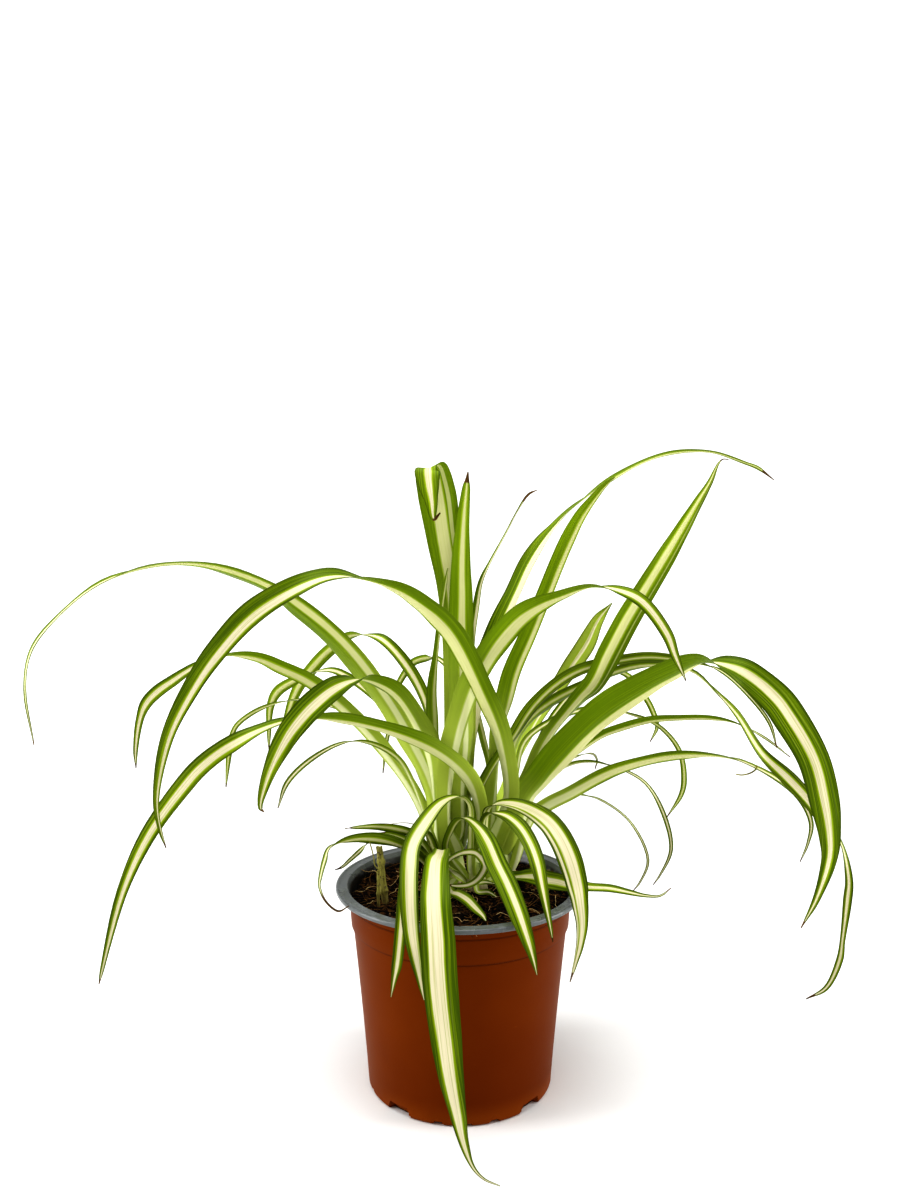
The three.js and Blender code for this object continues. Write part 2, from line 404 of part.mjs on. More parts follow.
// A shoot's stem: full at the soil, drawn in to a blunt bud at its top.
function crownRadius(shoot, height) {
  const up = THREE.MathUtils.clamp(height / shoot.height, 0, 1);
  return shoot.radius * (1 - crownTaper.drop * Math.pow(up, crownTaper.power));
}

function makeCrown(shoot) {
  const heights = [0, 0.25, 0.5, 0.75, 1].map((share) => share * shoot.height);
  const profile = [
    [0, -crownDepth],
    [shoot.radius * 0.8, -crownDepth],
    ...heights.map((height) => [crownRadius(shoot, height), height]),
    [0, shoot.height + 1],
  ];
  return solidOf(turned(profile, crownSides).translate(shoot.x, shoot.y, soil.top));
}

// From what the viewer sees to where it is: the sight line through the sheet, met at a depth.
const tilt = THREE.MathUtils.degToRad(eye.tilt);
const eyePlace = new THREE.Vector3(eye.x, eye.y, eye.z);

function sightLine(across, up) {
  return new THREE.Vector3(
    across,
    eye.sheet * Math.cos(tilt) + up * Math.sin(tilt),
    up * Math.cos(tilt) - eye.sheet * Math.sin(tilt),
  );
}

function placeOf(across, up, behind) {
  const line = sightLine(across, up);
  return line.multiplyScalar((behind - eye.y) / line.y).add(eyePlace);
}

function mix(values, place) {
  const index = Math.min(Math.floor(place), values.length - 2);
  const part = place - index;
  const eased = part * part * (3 - 2 * part);
  return values[index] + (values[index + 1] - values[index]) * eased;
}

// A strap leaf's width along its length: drawn in at the root, full at the first third, then pointed.
function strapWidth(leaf, share) {
  if (share < fullShare) {
    return THREE.MathUtils.lerp(rootWidth, leaf.width, Math.sin((share / fullShare) * (Math.PI / 2)));
  }
  return leaf.width * (1 - Math.pow((share - fullShare) / (1 - fullShare), tipPower));
}

// The stations of a leaf: place, direction across, direction up from its upper face, width and fold.
function stationsOf(leaf) {
  const shoot = shoots[leaf.shoot];
  const side = THREE.MathUtils.degToRad(leaf.root[0]);
  const outward = new THREE.Vector3(Math.cos(side), Math.sin(side), 0);
  const rootHeight = leaf.root[1];
  const stem = new THREE.Vector3(shoot.x, shoot.y, soil.top + rootHeight);
  const reach = crownRadius(shoot, rootHeight);
  const root = stem.clone().addScaledVector(outward, reach - rootSink);
  const leaving = stem.clone().addScaledVector(outward, reach + neck.out);
  leaving.z += neck.rise;
  const seen = leaf.route.map(([across, up, behind]) => placeOf(across, up, behind));
  const points = [root, leaving, ...seen];
  const curve = new THREE.CatmullRomCurve3(points, false, "centripetal");
  const spans = points.length - 1;
  const lastPoint = leaf.route[leaf.route.length - 1];
  const handed = Math.sign(lastPoint[0] - leaf.route[0][0]) || 1;
  const widths = leaf.route.map(([across, up, behind, width], i) => {
    const sheetScale = seen[i].distanceTo(eyePlace) / sightLine(across, up).length();
    return width * sheetScale;
  });
  const rootSeen = Math.sign(widths[0]) * rootWidth;
  const seenWidths = [rootSeen, rootSeen, ...widths];
  const stations = [];
  const count = Math.ceil(spans * stepsPerSpan);
  const lengths = curve.getLengths(count);
  for (let i = 0; i <= count; i += 1) {
    const t = i / count;
    const place = curve.getPoint(t);
    const along = curve.getTangent(t);
    const share = lengths[i] / lengths[count];
    const seenWidth = mix(seenWidths, t * spans);
    const width = Math.max(strapWidth(leaf, share), Math.abs(seenWidth), leastWidth);
    const shown = leaf.creased ? Math.sign(seenWidth) : THREE.MathUtils.clamp(seenWidth / width, -1, 1);
    const turn = Math.acos(shown);
    const view = place.clone().sub(eyePlace).normalize();
    const edge = new THREE.Vector3().crossVectors(along, view).multiplyScalar(handed);
    const clarity = edge.length();
    const facing = view.clone().addScaledVector(along, -view.dot(along)).negate();
    const upright = new THREE.Vector3(0, 0, 1).addScaledVector(along, -along.z);
    const upFace = facing
      .normalize()
      .multiplyScalar(Math.cos(turn))
      .addScaledVector(edge.normalize(), Math.sin(turn))
      .multiplyScalar(clarity)
      .addScaledVector(upright, 1 - clarity);
    const atRoot = THREE.MathUtils.clamp(1 - (t * spans - 0.6) / 1.2, 0, 1);
    upFace.multiplyScalar(1 - atRoot).addScaledVector(outward, -atRoot);
    upFace.addScaledVector(along, -upFace.dot(along)).normalize();
    const across = new THREE.Vector3().crossVectors(along, upFace).normalize();
    const inBlade = leaf.creased ? 0 : fold.inBlade;
    const rise = width * THREE.MathUtils.lerp(fold.atRoot, inBlade, Math.min(share * fold.reach, 1));
    stations.push({ place, along, across, upFace, width, rise });
  }
  return stations;
}

// A folded strap through the stations, both faces split alike. grow widens it, for the hole it stands in.
function strap(stations, grow) {
  const points = [];
  const faces = [];
  const half = leafThickness / 2 + grow;
  for (const { place, across, upFace, width, rise } of stations) {
    const wide = width / 2 + grow;
    for (const level of [half, -half]) {
      points.push(
        place.clone().addScaledVector(across, -wide).addScaledVector(upFace, rise + level),
        place.clone().addScaledVector(upFace, level),
        place.clone().addScaledVector(across, wide).addScaledVector(upFace, rise + level),
      );
    }
  }
  const ring = 6;
  const quad = (a, b, c, d) => faces.push(a, b, c, a, c, d);
  for (let i = 0; i < stations.length - 1; i += 1) {
    const here = i * ring;
    const next = here + ring;
    for (const column of [0, 1]) {
      quad(here + column, here + column + 1, next + column + 1, next + column);
      faces.push(here + 3 + column, next + 4 + column, here + 4 + column);
      faces.push(here + 3 + column, next + 3 + column, next + 4 + column);
    }
    quad(here + 2, here + 5, next + 5, next + 2);
    quad(here + 3, here, next, next + 3);
  }
  const cap = (base, flip) => {
    const corners = [
      [0, 3, 1],
      [1, 3, 4],
      [1, 4, 2],
      [2, 4, 5],
    ];
    for (const [a, b, c] of corners) {
      if (flip) faces.push(base + a, base + c, base + b);
      else faces.push(base + a, base + b, base + c);
    }
  };
  cap(0, false);
  cap((stations.length - 1) * ring, true);
  const geometry = new THREE.BufferGeometry();
  geometry.setAttribute(
    "position",
    new THREE.Float32BufferAttribute(points.flatMap((point) => point.toArray()), 3),
  );
  geometry.setIndex(faces);
  return geometry;
}

// The hole that a leaf's root stands in: its first stations, begun a little deeper.
function rootHole(stations) {
  const inStem = stations.slice(0, holeStations).map((station) => ({ ...station }));
  inStem[0].place = inStem[0].place.clone().addScaledVector(inStem[0].along, -gap);
  return solidOf(strap(inStem, gap));
}

function makeStub({ foot, end, radius }, grow) {
  const from = new THREE.Vector3(...foot);
  const to = new THREE.Vector3(...end);
  const line = new THREE.LineCurve3(from, to);
  const outline = new THREE.Shape().absarc(0, 0, radius + grow, 0, 2 * Math.PI, false);
  const bar = new THREE.ExtrudeGeometry(outline, {
    steps: 4,
    curveSegments: 5,
    extrudePath: line,
    bevelEnabled: false,
  });
  return solidOf(bar);
}

const crowns = {};
for (const name of Object.keys(shoots)) crowns[name] = makeCrown(shoots[name]);
let soilSolid = makeSoil();
for (const name of Object.keys(shoots)) {
  const shoot = shoots[name];
  const hole = turned(
    [
      [0, -crownDepth - gap],
      [shoot.radius + gap, -crownDepth - gap],
      [shoot.radius + gap, crownDepth],
      [0, crownDepth],
    ],
    crownSides,
  ).translate(shoot.x, shoot.y, soil.top);
  soilSolid = soilSolid.subtract(solidOf(hole));
}
for (const stub of Object.values(stubs)) {
  const sunk = { ...stub, foot: [stub.foot[0], stub.foot[1], stub.foot[2] - gap] };
  soilSolid = soilSolid.subtract(makeStub(sunk, gap));
}

addPiece("pot", makePot(), "terracotta");
const leafStations = {};
for (const name of Object.keys(leaves)) {
  const leaf = leaves[name];
  leafStations[name] = stationsOf(leaf);
  crowns[leaf.shoot] = crowns[leaf.shoot].subtract(rootHole(leafStations[name]));
}
addPiece("soil", geometryOf(soilSolid), "soil");
for (const name of Object.keys(crowns)) addPiece(`${name}_crown`, geometryOf(crowns[name]), "sheath");
for (const name of Object.keys(leaves)) {
  const finish = name.startsWith("front") || name.startsWith("low") ? "darkLeaf" : "leaf";
  addPiece(name, strap(leafStations[name], 0), finish);
}
for (const name of Object.keys(stubs)) addPiece(name, geometryOf(makeStub(stubs[name], 0)), "stub");

export default group;
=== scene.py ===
# Potted spider plant: satin nursery pot, fibrous mix, sheathed shoots, cream-striped strap leaves.
import math
import random

import bpy
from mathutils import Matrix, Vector, noise


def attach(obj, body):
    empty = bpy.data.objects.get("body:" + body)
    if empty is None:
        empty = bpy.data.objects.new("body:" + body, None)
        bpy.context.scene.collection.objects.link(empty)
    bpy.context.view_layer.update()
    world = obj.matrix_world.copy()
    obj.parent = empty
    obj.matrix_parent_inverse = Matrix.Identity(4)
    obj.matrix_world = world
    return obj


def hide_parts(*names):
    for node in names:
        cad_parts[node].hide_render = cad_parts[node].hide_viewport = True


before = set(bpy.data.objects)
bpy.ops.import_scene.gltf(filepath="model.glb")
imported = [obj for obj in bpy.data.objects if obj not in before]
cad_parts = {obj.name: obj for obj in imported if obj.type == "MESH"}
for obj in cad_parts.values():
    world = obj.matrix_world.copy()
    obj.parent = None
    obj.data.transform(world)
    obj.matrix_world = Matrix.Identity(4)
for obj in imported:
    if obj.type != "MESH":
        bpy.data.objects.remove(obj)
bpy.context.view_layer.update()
mm = 0.001


def tone(red, green, blue):
    # a colour picked as 0 to 255 sRGB, in Blender's linear values
    shares = [value / 255 for value in (red, green, blue)]
    return tuple(v / 12.92 if v <= 0.04045 else ((v + 0.055) / 1.055) ** 2.4 for v in shares) + (1.0,)


class Wire:
    # a node's output that can be used in arithmetic
    def __init__(self, nodes, socket):
        self.nodes = nodes
        self.socket = socket

    def maths(self, operation, *values):
        return self.nodes.add("ShaderNodeMath", {"operation": operation}, dict(enumerate(values)))

    def __add__(self, other):
        return self.maths("ADD", self, other)

    def __radd__(self, other):
        return self.maths("ADD", other, self)

    def __sub__(self, other):
        return self.maths("SUBTRACT", self, other)

    def __rsub__(self, other):
        return self.maths("SUBTRACT", other, self)

    def __mul__(self, other):
        return self.maths("MULTIPLY", self, other)

    def __rmul__(self, other):
        return self.maths("MULTIPLY", other, self)

    def __truediv__(self, other):
        return self.maths("DIVIDE", self, other)

    def __rtruediv__(self, other):
        return self.maths("DIVIDE", other, self)

    def __pow__(self, other):
        return self.maths("POWER", self, other)

    def __rpow__(self, other):
        return self.maths("POWER", other, self)

    def size(self):
        return self.maths("ABSOLUTE", self)

    def ramp(self, low, high):
        # a smooth step from 0 at low to 1 at high
        return self.nodes.add("ShaderNodeMapRange", {"interpolation_type": "SMOOTHSTEP"},
                              {"Value": self, "From Min": low, "From Max": high})

    def parts(self):
        split = self.nodes.add("ShaderNodeSeparateXYZ", None, {0: self})
        return [Wire(self.nodes, output) for output in split.socket.node.outputs]


class Nodes:
    # adds nodes to one tree, and links what is given as a Wire
    def __init__(self, tree):
        self.tree = tree

    def add(self, kind, settings=None, sockets=None, output=0):
        node = self.tree.nodes.new(kind)
        for key, value in (settings or {}).items():
            setattr(node, key, value)
        for key, value in (sockets or {}).items():
            if isinstance(value, Wire):
                self.tree.links.new(value.socket, node.inputs[key])
            else:
                node.inputs[key].default_value = value
        return Wire(self, node.outputs[output]) if node.outputs else node

    def mix(self, factor, first, second):
        return self.add("ShaderNodeMix", {"data_type": "RGBA"}, {0: factor, 6: first, 7: second}, 2)

    def vector(self, x, y, z):
        return self.add("ShaderNodeCombineXYZ", None, {0: x, 1: y, 2: z})

    def noise(self, place, scale, detail=2.0, roughness=0.5, output=0):
        return self.add("ShaderNodeTexNoise", None,
                        {"Vector": place, "Scale": scale, "Detail": detail, "Roughness": roughness}, output)

    def attribute(self, name):
        return self.add("ShaderNodeAttribute", {"attribute_name": name}, None, 1)

    def place(self):
        return self.add("ShaderNodeTexCoord", None, None, 3)

    def bump(self, height, distance, strength):
        return self.add("ShaderNodeBump", None,
                        {"Height": height, "Distance": distance, "Strength": strength})

    def chance(self, seed, low, high):
        # a random number, or a random vector, for each point
        if isinstance(low, tuple):
            return self.add("FunctionNodeRandomValue", {"data_type": "FLOAT_VECTOR"},
                            {0: low, 1: high, "Seed": seed})
        return self.add("FunctionNodeRandomValue", {"data_type": "FLOAT"},
                        {2: low, 3: high, "Seed": seed}, 1)

    def scaled(self, vector, amount):
        return self.add("ShaderNodeVectorMath", {"operation": "SCALE"}, {0: vector, "Scale": amount})


def material(name, paint):
    made = bpy.data.materials.new(name)
    made.use_nodes = True
    made.node_tree.nodes.clear()
    nodes = Nodes(made.node_tree)
    shader = nodes.add("ShaderNodeBsdfPrincipled", None, paint(nodes))
    nodes.add("ShaderNodeOutputMaterial", None, {"Surface": shader})
    return made


def addObject(name, data):
    made = bpy.data.objects.new(name, data)
    bpy.context.scene.collection.objects.link(made)
    return made


def meshOf(name, points, faces):
    mesh = bpy.data.meshes.new(name)
    mesh.from_pydata(points, [], faces)
    return mesh


def settle(made, slot, *replaced):
    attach(made, "root")
    if replaced:
        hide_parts(*replaced)


def piece(name, points, faces, slot, *replaced, smooth=50, looks=(), picks=None):
    # a closed mesh at the origin that rides on the plant; picks gives each face its material
    mesh = meshOf(name, points, faces)
    for look in looks:
        mesh.materials.append(look)
    if picks:
        mesh.polygons.foreach_set("material_index", picks)
    mesh.shade_smooth()
    mesh.set_sharp_from_angle(angle=math.radians(smooth))
    made = addObject(name, mesh)
    settle(made, slot, *replaced)
    return made


def anglesOf(sides):
    return [side / sides * 2 * math.pi for side in range(sides)]


def turned(radius, angle, height, x=0, y=0):
    # a point round an upright axis, from mm to metres
    return (x + radius * math.cos(angle)) * mm, (y + radius * math.sin(angle)) * mm, height * mm


def lathed(sides, rings, closed=True, downwards=False):
    # faces between a pole, rings of points and, where it is closed, a second pole
    faces = []
    for side in range(sides):
        beside = (side + 1) % sides
        faces.append((0, 1 + beside, 1 + side))
        for ring in range(rings - 1):
            here, above = 1 + ring * sides, 1 + (ring + 1) * sides
            faces.append((here + side, here + beside, above + beside, above + side))
        if closed:
            edge = 1 + (rings - 1) * sides
            faces.append((edge + sides, edge + side, edge + beside))
    return [face[:1] + face[:0:-1] for face in faces] if downwards else faces


# Camera: a phone-like view, a little above the leaves
camera = {"place": (-4.85, -504.9, 283.5), "down": 5.435, "lens": 32.16, "sensor": 36}
eye = Vector(camera["place"])


def makeCamera():
    data = bpy.data.cameras.new("camera")
    data.lens = camera["lens"]
    data.sensor_width = camera["sensor"]
    made = addObject("camera", data)
    made.location = eye * mm
    made.rotation_euler = (math.radians(90 - camera["down"]), 0, 0)
    bpy.context.scene.camera = made


# Studio: pale floor that turns white with distance, a soft light on each side and one above, each
# with its place and size in mm and its power
studio = {
    "floor": tone(236, 236, 235), "unlit": (0.0, 0.0, 0.0, 1.0), "glow": (0.62, 0.62, 0.62, 1.0),
    "white": (1.0, 1.0, 1.0, 1.0), "near": 0.3, "far": 1.2, "sky": 0.42, "reach": 6.0, "aim": 150,
    "lights": [((-900, -120, 420), (420, 700), 5.0), ((900, -60, 420), (420, 700), 5.0),
               ((-150, -150, 1150), (800, 600), 7.5)],
}


def floorPaint(nodes):
    x, y, z = nodes.place().parts()
    away = (x * x + y * y) ** 0.5
    glow = nodes.mix(away.ramp(studio["near"], studio["far"]), studio["unlit"], studio["glow"])
    return {"Base Color": studio["floor"], "Roughness": 0.9, "Emission Color": glow,
            "Emission Strength": 1.0}


def makeStudio():
    world = bpy.data.worlds.new("studio")
    world.use_nodes = True
    world.node_tree.nodes.clear()
    nodes = Nodes(world.node_tree)
    behind = nodes.add("ShaderNodeLightPath")  # the backdrop looks white, and lights the plant less
    strength = behind * (1.0 - studio["sky"]) + studio["sky"]
    sky = nodes.add("ShaderNodeBackground", None, {"Color": studio["white"], "Strength": strength})
    nodes.add("ShaderNodeOutputWorld", None, {"Surface": sky})
    bpy.context.scene.world = world
    view = bpy.context.scene.view_settings
    view.view_transform = "Standard"
    view.look = "High Contrast"
    for index, (where, size, power) in enumerate(studio["lights"]):
        data = bpy.data.lights.new(f"softLight{index}", "AREA")
        data.shape = "RECTANGLE"
        data.size, data.size_y = size[0] * mm, size[1] * mm
        data.energy = power
        made = addObject(data.name, data)
        made.location = Vector(where) * mm
        aim = Vector((0, 0, studio["aim"] * mm)) - made.location
        made.rotation_euler = aim.to_track_quat("-Z", "Y").to_euler()
    reach = studio["reach"]
    corners = [(-reach, -reach, 0), (reach, -reach, 0), (reach, reach, 0), (-reach, reach, 0)]
    mesh = meshOf("floor", corners, [(0, 1, 2, 3)])
    mesh.materials.append(material("paleFloor", floorPaint))
    addObject("floor", mesh)


makeCamera()
makeStudio()
print("stage: camera and studio")

# Pot: thermoformed, terracotta outside and grey inside, with a rolled lip, a low collar and a notched
# foot. bead and ledge run over the lip: how far inwards and how far below its top, in mm.
pot = {
    "height": 98.6, "rim": 60.0, "lipHeight": 2.4, "wall": 1.2,
    "footRadius": 44.6, "collarFoot": 51.6, "collarAt": 79.0, "crease": 91.2,
    "collarStep": 0.9, "bodyTop": 53.6, "bow": 1.15,
    "footRound": 1.6, "underside": (39.6, 41.0), "floor": 1.6, "floorRadius": 38, "sides": 360,
    "notchTaper": 0.35,
    "bead": [(0.0, 1.2), (0.05, 0.75), (0.2, 0.4), (0.45, 0.14), (0.8, 0.02), (1.15, 0.0),
             (1.5, 0.06), (1.8, 0.22)],
    "ledge": [(2.1, 0.3), (2.5, 0.35), (3.4, 0.36), (4.3, 0.34), (4.8, 0.3), (5.2, 0.28),
              (5.6, 0.36), (5.8, 0.75)],
    "clay": tone(110, 50, 1), "clayDeep": tone(92, 35, 1), "clayWorn": tone(142, 74, 20),
    "claySheen": tone(255, 170, 70), "stepShadow": tone(52, 16, 2),
    "grey": tone(94, 98, 98), "greyPale": tone(138, 143, 146), "patchDark": tone(22, 14, 8),
}
# drain notches round the foot: degrees, half width in mm, height and depth
notches = [(angle, 7, 4.4, 3.2) for angle in (50, 140, 230, 317)]
smallNotches = [(256.5, 2.4, 1.7, 1.6), (275, 1.6, 1.4, 1.4), (290.5, 2.6, 1.9, 1.6)]
for back in (0, 180, 90):
    notches += [(angle - back, wide, high, deep) for angle, wide, high, deep in smallNotches]


def bodyRadius(height):
    low = min(height / pot["collarAt"], 1)
    bowed = pot["footRadius"] + (pot["collarFoot"] - pot["footRadius"]) * low ** pot["bow"]
    if height < pot["collarAt"]:
        return bowed
    high = (height - pot["collarAt"]) / (pot["height"] - pot["lipHeight"] - pot["collarAt"])
    return bowed + pot["collarStep"] + (pot["bodyTop"] - bowed - pot["collarStep"]) * high


def notchDepth(angle, height):
    # how far the foot's wall stands back at a place
    for middle, wide, high, deep in notches:
        aside = (math.degrees(angle) - middle + 180) % 360 - 180
        reach = abs(math.radians(aside)) * pot["footRadius"]
        if height < high and reach < wide * (1 - pot["notchTaper"] * (height / high)):
            return deep
    return 0


def potPaint(nodes):
    here = nodes.place()
    x, y, z = here.parts()
    cloud = nodes.noise(here, 14.0, 3.0)
    grain = nodes.noise(here, 900.0, 2.0)
    drawn = nodes.noise(nodes.vector(x * 0.3, y * 0.3, z * 3.0), 60.0, 3.0)
    clay = nodes.mix(cloud.ramp(0.3, 0.7) * 0.5, pot["clay"], pot["clayDeep"])
    foot = 1 - z.ramp(0.0, 0.012)
    clay = nodes.mix(foot * cloud.ramp(0.35, 0.6) * 0.6, clay, pot["clayWorn"])
    scuffs = nodes.noise(nodes.vector(x * 2, y * 2, z * 9), 55.0, 6.0, 0.7).ramp(0.66, 0.74)
    clay = nodes.mix(scuffs * 0.35, clay, pot["clayWorn"])
    # painted shadow: a thin darker line of clay along the collar step and along the crease, where shade
    # falls under each step
    stepShadowLines = (z - pot["collarAt"] * mm).size().ramp(0.0002, 0.0009)
    stepShadowLines = stepShadowLines * (z - pot["crease"] * mm).size().ramp(0.0002, 0.0008)
    clay = nodes.mix((1 - stepShadowLines) * 0.55, clay, pot["stepShadow"])
    return {"Base Color": clay, "Roughness": 0.42 + cloud * 0.1 + scuffs * 0.15,
            "Specular IOR Level": 0.07, "Specular Tint": pot["claySheen"],
            "Normal": nodes.bump(grain * 0.4 + drawn * 0.6, 0.00012, 0.5)}


def greyPaint(nodes):
    here = nodes.place()
    x, y, z = here.parts()
    cloud = nodes.noise(here, 60.0, 4.0)
    rubs = nodes.noise(nodes.vector(x, y, z * 6), 160.0, 5.0, 0.7).ramp(0.5, 0.72)
    grey = nodes.mix(rubs * 0.4, pot["grey"], pot["greyPale"])
    # the inner wall turns darker in patches below 95.7 mm, a dark brown laid over the grey
    darkPatches = nodes.noise(here, 240.0, 3.0).ramp(0.3, 0.5) * (1 - z.ramp(0.0957, 0.0968))
    grey = nodes.mix(darkPatches * 0.9, grey, pot["patchDark"])
    return {"Base Color": grey, "Roughness": 0.22 + cloud * 0.12,
            "Normal": nodes.bump(cloud + rubs, 0.0001, 0.4)}


def makePot():
    lipFoot = pot["height"] - pot["lipHeight"]
    step, crease, top, rim = pot["collarAt"], pot["crease"], pot["bodyTop"], pot["rim"]
    outside = [(pot["footRadius"] - pot["footRound"] * (1 - math.sin(math.radians(bend))),
                pot["footRound"] * (1 - math.cos(math.radians(bend)))) for bend in (0, 18, 36, 54, 72)]
    heights = (1.6, 2.1, 2.6, 3.1, 3.6, 4.1, 4.6, 5.2, 6, 8, 12, 18, 26, 36, 48, 60, 70, 75)
    outside += [(bodyRadius(h), h) for h in heights + (step - 1, step - 0.45)]
    outside += [(bodyRadius(step - 0.1) + 0.1, step), (bodyRadius(step + 0.1) - 0.15, step + 0.35)]
    outside += [(bodyRadius(h), h) for h in (step + 0.9, step + 6, crease - 0.3)]
    outside += [(bodyRadius(crease) + 0.3, crease), (bodyRadius(crease + 1) + 0.35, crease + 1)]
    outside.append((top + 0.5, lipFoot - 0.25))
    lip = [(top + 1.0, lipFoot), (rim - 0.8, lipFoot), (rim - 0.25, lipFoot + 0.25), (rim, lipFoot + 0.8)]
    lip += [(rim - inward, pot["height"] - lower) for inward, lower in pot["bead"] + pot["ledge"]]
    inside = [(top - pot["wall"] + 0.4, lipFoot - 0.6)]
    inside += [(bodyRadius(h) - pot["wall"], h) for h in (88, 84, 80, 50, 20, 5)]
    inside.append((pot["floorRadius"], pot["floor"]))
    under = [(radius, 0.0) for radius in pot["underside"]]
    profile = under + outside + lip + inside
    points = [(0.0, 0.0, 0.0)]
    for radius, height in profile:
        notched = radius > 41.2 and height < 6
        for angle in anglesOf(pot["sides"]):
            back = notchDepth(angle, height) if notched else 0
            points.append(turned(radius - back, angle, height))
    points.append((0.0, 0.0, pot["floor"] * mm))
    # the grey starts at the lip's outer edge
    greyFrom = len(under) + len(outside) + 1
    picks = [0] + [1 if row >= greyFrom else 0 for row in range(len(profile) - 1)] + [1]
    piece("nursery_pot", points, lathed(pot["sides"], len(profile)), "terracotta_plastic", "pot", smooth=38,
          looks=[material("clayPlastic", potPaint), material("greyPlastic", greyPaint)],
          picks=picks * pot["sides"])


makePot()
print("stage: pot")

# Potting mix: a lumpy top of coir and bark, with crumbs, tan fibres and a few thin pale roots on it
soil = {
    "top": 93.0, "edge": 51.65, "lump": 1.3, "clod": 1.5, "crumb": 0.55, "rings": 110, "sides": 220,
    "crumbShift": 0.5, "clearance": 0.35, "edgeDrop": 1.2, "dropFrom": 0.97, "foot": (39.5, 1.9),
    "strewnInset": 1.2, "strewnRings": 24, "strewnSides": 72,
    "dark": tone(4, 2, 1), "brown": tone(46, 29, 15), "tan": tone(98, 66, 36),
    "fibreDark": tone(70, 46, 22), "fibre": tone(132, 96, 52),
    "rootDark": tone(170, 140, 96), "root": tone(205, 180, 132),
}
# shoots' stems: place, radius and height above the mix
shoots = {
    "left": {"x": -5, "y": 18, "radius": 8.5, "height": 25},
    "right": {"x": 20, "y": 24, "radius": 8.5, "height": 24},
    "front": {"x": 8, "y": 3, "radius": 5.5, "height": 13},
}


def soilHeight(x, y):
    wave = 0.5 * math.sin(x * 0.31 + 1.3) * math.cos(y * 0.27) + 0.5 * math.sin(x * 0.13 - y * 0.22 + 0.4)
    clods = noise.noise(Vector((x * 0.22, y * 0.22, 3.1))) * soil["clod"]
    clods += abs(noise.noise(Vector((x * 0.5, y * 0.5, 7.7)))) * soil["clod"] * 1.1
    crumbs = noise.noise(Vector((x * 1.3, y * 1.3, 1.9))) * soil["crumb"]
    return soil["top"] + soil["lump"] * wave - soil["crumbShift"] + clods + crumbs


def soilPaint(nodes):
    here = nodes.place()
    x, y, z = here.parts()
    cells = nodes.add("ShaderNodeTexVoronoi", None, {"Vector": here, "Scale": 420.0}, 1)
    lumps = nodes.noise(here, 150.0, 5.0, 0.65)
    fine = nodes.noise(here, 900.0, 4.0, 0.7)
    # painted shade: the mix is darker towards the left (-X) side; the lumps are its own tone
    lit = lumps.ramp(0.42, 0.75) * (0.35 + 0.65 * x.ramp(-0.03, 0.03))
    shade = nodes.mix(lit, soil["dark"], soil["brown"])
    shade = nodes.mix(cells.parts()[0].ramp(0.72, 0.95) * 0.5, shade, soil["tan"])
    return {"Base Color": shade, "Roughness": 0.92, "Specular IOR Level": 0.1,
            "Normal": nodes.bump(lumps + fine * 0.6, 0.0009, 0.9)}


def crumbLook(name, dark, light):
    def paint(nodes):
        here = nodes.place()
        lumps = nodes.noise(here, 260.0, 3.0)
        fine = nodes.noise(here, 1400.0, 3.0, 0.7)
        return {"Base Color": nodes.mix(lumps.ramp(0.4, 0.62), soil[dark], soil[light]), "Roughness": 0.9,
                "Specular IOR Level": 0.15, "Normal": nodes.bump(fine, 0.0003, 0.8)}
    return material(name, paint)


def lumpyTop(edge, rings, sides, drop=0.0):
    # the mix's top as a pole and rings of points, the outermost ones lower by up to the drop
    points = [(0.0, 0.0, soilHeight(0, 0) * mm)]
    for ring in range(1, rings + 1):
        radius = edge * ring / rings
        lower = max(0, (ring / rings - soil["dropFrom"]) / (1 - soil["dropFrom"])) * drop
        for angle in anglesOf(sides):
            x, y = radius * math.cos(angle), radius * math.sin(angle)
            points.append((x * mm, y * mm, (soilHeight(x, y) - lower) * mm))
    return points


def makeSoil():
    sides, rings = soil["sides"], soil["rings"]
    points = lumpyTop(soil["edge"], rings, sides, soil["edgeDrop"])
    inset = pot["wall"] + soil["clearance"]
    below = [(bodyRadius(h) - inset, h) for h in (81, 53, 25, 3.2)] + [soil["foot"]]
    points += [turned(radius, angle, height) for radius, height in below for angle in anglesOf(sides)]
    points.append((0.0, 0.0, soil["foot"][1] * mm))
    faces = lathed(sides, rings + len(below), downwards=True)
    piece("potting_mix", points, faces, "potting_mix", "soil", smooth=70,
          looks=[material("coirMix", soilPaint)])


def strew(sheet, name, look, build, values):
    # grows small pieces on the sheet with Geometry Nodes, and keeps them as one plain mesh
    tree = bpy.data.node_groups.new(name, "GeometryNodeTree")
    tree.interface.new_socket("Sheet", in_out="INPUT", socket_type="NodeSocketGeometry")
    tree.interface.new_socket("Pieces", in_out="OUTPUT", socket_type="NodeSocketGeometry")
    keys = {}
    for label, value in values.items():
        kind = "NodeSocketInt" if isinstance(value, int) else "NodeSocketFloat"
        keys[label] = tree.interface.new_socket(label, in_out="INPUT", socket_type=kind).identifier
    nodes = Nodes(tree)
    inputs = nodes.add("NodeGroupInput").socket.node.outputs
    given = {socket.name: Wire(nodes, socket) for socket in inputs if socket.name}
    spots = nodes.add("GeometryNodeDistributePointsOnFaces", None,
                      {"Mesh": given["Sheet"], "Density": given["Density"], "Seed": given["Seed"]})
    real = nodes.add("GeometryNodeRealizeInstances", None, {0: build(nodes, spots, given)})
    pieces = nodes.add("GeometryNodeSetMaterial", None, {"Geometry": real, "Material": look})
    nodes.add("NodeGroupOutput", None, {"Pieces": pieces})
    modifier = sheet.modifiers.new(name, "NODES")
    modifier.node_group = tree
    for label, value in values.items():
        modifier[keys[label]] = value
    sheet.update_tag()
    bpy.context.view_layer.update()
    seen = sheet.evaluated_get(bpy.context.evaluated_depsgraph_get())
    mesh = bpy.data.meshes.new_from_object(seen)
    sheet.modifiers.remove(modifier)
    mesh.name = name
    settle(addObject(name, mesh), "potting_mix")
    print(f"  {name}: {len(mesh.polygons)} faces")


